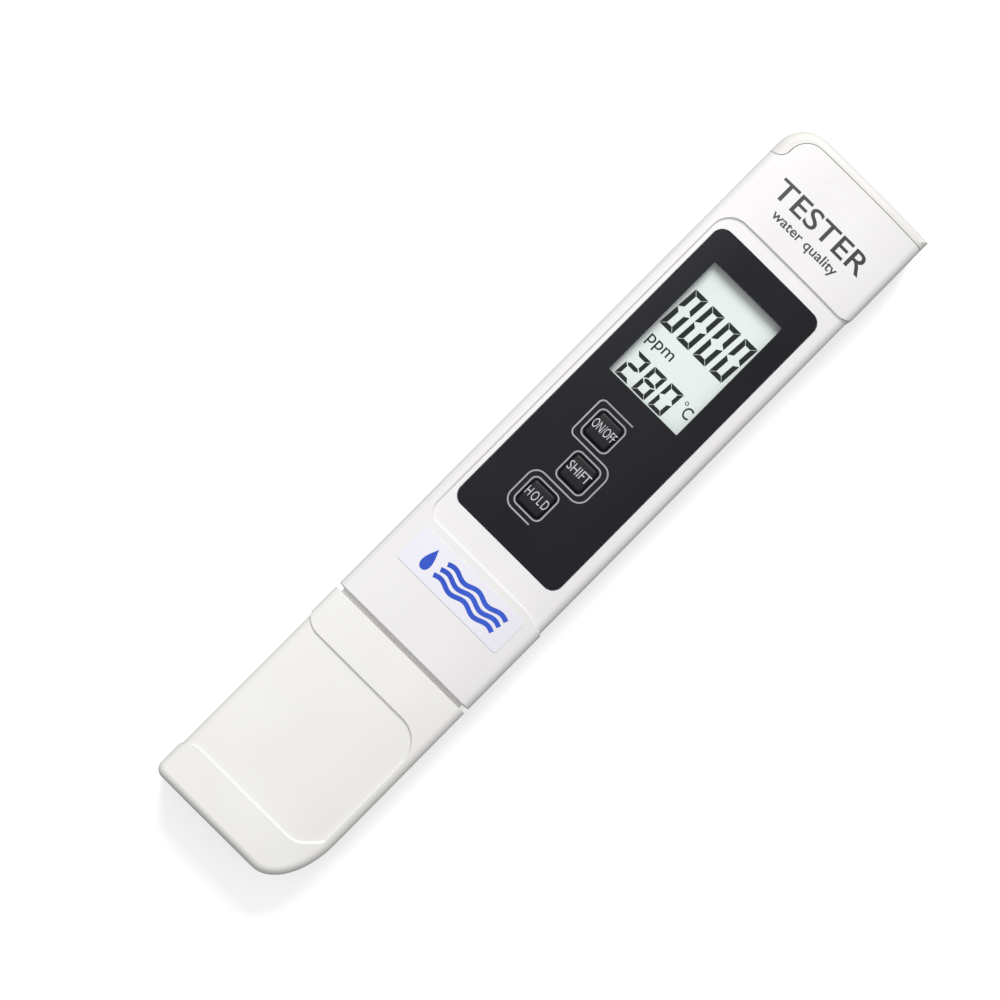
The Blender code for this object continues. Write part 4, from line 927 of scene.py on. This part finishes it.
def cellTurn(node, flip):
    # a can with a rolled rim, a black ring and the raised pole plate
    size = span(node)
    radius, tall = size.x / 2, size.z
    rim, roll, shoulder = cell["rim"], cell["roll"], tall - cell["shoulder"]
    mouth, ring, plate = ([(radius - x * mm, tall - y * mm) for x, y in cell[part]]
                          for part in ("mouth", "ring", "plate"))
    can = [(0.0, 0.0)] + [(radius - rim + along, rim - across) for across, along in quarter(rim)]
    can += [(radius, shoulder)]
    can += [(radius - roll + across, shoulder + along) for across, along in quarter(roll)[1:]]
    can += mouth + [(0.0, mouth[-1][1])]
    plate = [(0.0, plate[0][1])] + plate + [(0.0, plate[-1][1])]
    made = []
    for part, profile in (("can", can), ("ring", ring), ("plate", plate)):
        shaped = [(r, (z - tall / 2) * flip) for r, z in profile]
        made.append(smooth(turned(f"{node}_{part}", shaped, middle(node)), 30))
    return made


for node, flip in (("button_cell_1", 1), ("button_cell_2", -1)):
    can, ring, plate = cellTurn(node, flip)
    fitted(can, "cellSteel", "battery_drawer", "cell_steel", node)
    fitted(ring, "gasketBlack", "battery_drawer", "cell_steel")
    fitted(plate, "cellSteel", "battery_drawer", "cell_steel")


def trayShape():
    bottom, top, link = low("battery_tray"), high("battery_tray"), span("contact_link")
    cells = ("button_cell_1", "button_cell_2")
    radius = span(cells[0]).x / 2 + tray["cellGap"]
    floor, half = low("contact_link").z - tray["floor"], link.y / 2 + tray["linkGap"]
    corner = tray["corner"]
    line = drawn([(bottom.x, bottom.y, corner), (top.x, bottom.y, corner), (top.x, top.y, corner),
                  (bottom.x, top.y, shell["topCorner"] - shell["sideWall"] - corner)], 8)
    made = piece("trayShape", extruded(line, bottom.z, top.z))
    tools = [pole(f"pocket{i}", node, floor, frontZ, radius, 64) for i, node in enumerate(cells)]
    along, up = middle(cells[0]).y, top.z + tray["notchUp"]
    tools.append(block("channel", (-link.x / 2, along - half, floor + tray["linkFoot"]),
                       (link.x / 2, along + half, floor + tray["linkTop"])))
    for i, node in enumerate(cells):
        x = middle(node).x              # thumb notches to lift the cells out by
        tools.append(rod(f"notch{i}", (x, bottom.y - tray["notchOut"], up),
                         (x, bottom.y + tray["notchIn"], up), tray["notch"]))
    carve(made, tools)
    return soften(made, tray["edge"], 2)


fitted(trayShape(), "holderWhite", "battery_drawer", "holder_plastic", "battery_tray")
print("battery drawer made")


# screws and trimmer
screw = sized({"dome": 0.55, "turns": 8}, head=1.9, headTall=1.2, domeRise=0.02, headEdge=0.35,
              edgeRise=0.4, shank=0.9, threadDepth=0.18, threadStart=0.2, plainPart=1.2, tipTaper=0.2,
              tip=0.8, crossArm=1.15, crossHalf=0.19, crossDeep=0.65)
rotor = sized(plate=0.9, stem=0.5, edge=0.2, edgeMid=0.06, slotRim=0.3, slotHalf=0.25, slotDeep=0.4)


def bar(name, spot, x, y, bottom, top):
    return block(name, (spot.x - x, spot.y - y, bottom), (spot.x + x, spot.y + y, top))


def screwTurn(number):
    node = screws[number]
    spot, bottom, length = middle(node), low(node).z, high(node).z - low(node).z
    head, shank, tall, edge = screw["head"], screw["shank"], screw["headTall"], screw["headEdge"]
    profile = [(0.0, 0.0), (head * screw["dome"], screw["domeRise"])]
    profile += [(head - edge + along, screw["edgeRise"] - across) for across, along in quarter(edge)]
    profile += [(head, tall), (shank, tall)]
    pitch = (length - tall - screw["plainPart"]) / screw["turns"]
    for step in range(2 * screw["turns"]):
        # the thread as rings: a crest, then a root
        depth = screw["threadDepth"] if step % 2 else 0.0
        profile.append((shank - depth, tall + screw["threadStart"] + step * pitch / 2))
    profile += [(shank - screw["tipTaper"], length - screw["tip"]), (0.0, length)]
    made = turned(f"screw{number}", profile, (spot.x, spot.y, bottom), 40)
    arm, half, deep = screw["crossArm"], screw["crossHalf"], bottom + screw["crossDeep"]
    carve(made, [bar("crossA", spot, arm, half, -past, deep), bar("crossB", spot, half, arm, -past, deep)])
    return smooth(made, 30)


for number in screws:
    fitted(screwTurn(number), "screwZinc", "case", "screw_zinc", f"case_screw_{number}")


def rotorTurn():
    node = "trimmer_rotor"
    spot, bottom, tall = middle(node), low(node).z, high(node).z - low(node).z
    radius = span(node).x / 2
    plate, stem, edge, mid = rotor["plate"], rotor["stem"], rotor["edge"], rotor["edgeMid"]
    profile = [(0.0, 0.0), (radius - edge, 0.0), (radius - mid, mid), (radius, edge),
               (radius, plate), (stem, plate), (stem, tall), (0.0, tall)]
    made = turned("rotorTurn", profile, (spot.x, spot.y, bottom), 48)
    arm, half, deep = radius - rotor["slotRim"], rotor["slotHalf"], bottom + rotor["slotDeep"]
    carve(made, [bar("slotA", spot, arm, half, 0.0, deep),
                 block("slotB", (spot.x - half, spot.y, 0.0), (spot.x + half, spot.y + arm, deep))])
    return smooth(made, 30)


fitted(rotorTurn(), "tinnedMetal", "trimmer", "tinned_metal", "trimmer_rotor")
print("screws and trimmer made")


# inner parts that keep their CAD shape
def dress(node, finishName, edge=0.0):
    made = nodes[node]
    made.data.materials.clear()
    made.data.materials.append(finishes[finishName])
    if edge > 0.0:
        weld = made.modifiers.new("weld", "WELD")
        weld.merge_threshold = 1e-6
        flats = made.modifiers.new("flats", "DECIMATE")
        flats.decimate_type = "DISSOLVE"
        flats.angle_limit = math.radians(1)
        soft = made.modifiers.new("softEdges", "BEVEL")
        soft.width = edge
        soft.segments = 2
        soft.limit_method = "ANGLE"
        soft.angle_limit = math.radians(35)


# the finish, the width of the softened edges in millimetres, and the nodes
plain = (
    ("windowClear", 0.05, "display_window"), ("lcdGrey", 0.05, "lcd_glass"),
    ("filmSilver", 0.0, "lcd_reflector"), ("holderWhite", 0.15, "lcd_holder"),
    ("stripRubber", 0.05, "connector_strip_upper", "connector_strip_lower"),
    ("boardGreen", 0.05, "main_board"), ("resinBlack", 0.0, "chip_resin"), ("tinnedMetal", 0.0, "crystal"),
    ("sleeveBlack", 0.0, "capacitor_1", "capacitor_2"), ("trimmerBlue", 0.1, "trimmer_body"),
    ("springNickel", 0.04, "contact_link", "contact_positive", "contact_negative"),
    ("leadRed", 0.0, "electrode_lead_left"), ("leadBlack", 0.0, "electrode_lead_right"),
    ("leadWhite", 0.0, "sensor_lead"),
    ("switchBlack", 0.1, *("switch_body_" + name for name in keyNames)),
    ("plungerBrown", 0.0, *("switch_plunger_" + name for name in keyNames)),
)
for finishName, edge, *stood in plain:
    for node in stood:
        dress(node, finishName, edge * mm)
print("inner parts dressed")


# floor, light and camera
studio = {"floor": 4.0, "floorDrop": 0.02 * mm, "floorGlow": 0.46, "horizon": 0.22, "zenith": 0.67,
          "keyPower": 15.0, "keySize": 0.8, "keyPlace": (-0.42, 0.80, 0.90)}
view = {"lens": 100.0, "near": 0.01, "distance": 0.4614, "tilt": 4.3, "roll": 45.1,
        "shiftRight": -7.8 * mm, "shiftUp": 0.35 * mm}


def floor():
    shape = bmesh.new()
    bmesh.ops.create_grid(shape, x_segments=2, y_segments=2, size=studio["floor"])
    bmesh.ops.translate(shape, verts=shape.verts, vec=(0, 0, -studio["floorDrop"]))
    made = piece("floor", shape)
    pale = finish("floorPale", (0.93, 0.93, 0.93), (0.92, 0.92, 0.92), (0.8, 0.9), 0.0, driftScale=3.0)
    constants(pale.node_tree.nodes["Principled BSDF"],
              {"Emission Color": (1, 1, 1, 1), "Emission Strength": studio["floorGlow"]})
    made.data.materials.append(pale)
    made.visible_diffuse = False
    made.visible_glossy = False


def keyLight():
    lamp = bpy.data.lights.new("keyLight", "AREA")
    lamp.shape = "DISK"
    lamp.size = studio["keySize"]
    lamp.energy = studio["keyPower"]
    made = bpy.data.objects.new("keyLight", lamp)
    made.location = studio["keyPlace"]
    made.rotation_euler = (-Vector(studio["keyPlace"])).to_track_quat("-Z", "Y").to_euler()
    bench.objects.link(made)


def sky():
    world = bpy.data.worlds.new("studio")
    world.use_nodes = True
    tree = world.node_tree
    direction, parts = added(tree, "TexCoord"), added(tree, "SeparateXYZ")
    height = added(tree, "MapRange", {"To Min": studio["horizon"], "To Max": studio["zenith"]})
    background = tree.nodes["Background"]
    constants(background, {"Color": (1, 1, 1, 1)})
    wire(tree, (direction, "Generated", parts, "Vector"), (parts, "Z", height, "Value"),
         (height, "Result", background, "Strength"))
    bpy.context.scene.world = world


def camera():
    roll, tilt = math.radians(view["roll"]), math.radians(view["tilt"])
    right = Vector((math.sin(roll), math.cos(roll), 0.0))
    up = Vector((-math.cos(roll), math.sin(roll), 0.0))
    back = Vector((0.0, -math.sin(tilt), math.cos(tilt)))
    target = Vector((0.0, (topY + capEnd) / 2, frontZ)) + right * view["shiftRight"] + up * view["shiftUp"]
    sideways = (right - back * right.dot(back)).normalized()
    upright = back.cross(sideways)
    turn = Matrix((sideways, upright, back)).transposed().to_4x4()
    lens = bpy.data.cameras.new("camera")
    lens.lens = view["lens"]
    lens.clip_start = view["near"]
    made = bpy.data.objects.new("camera", lens)
    made.matrix_world = Matrix.Translation(target + back * view["distance"]) @ turn
    bench.objects.link(made)
    bpy.context.scene.camera = made


floor()
sky()
keyLight()
camera()
print("studio ready")
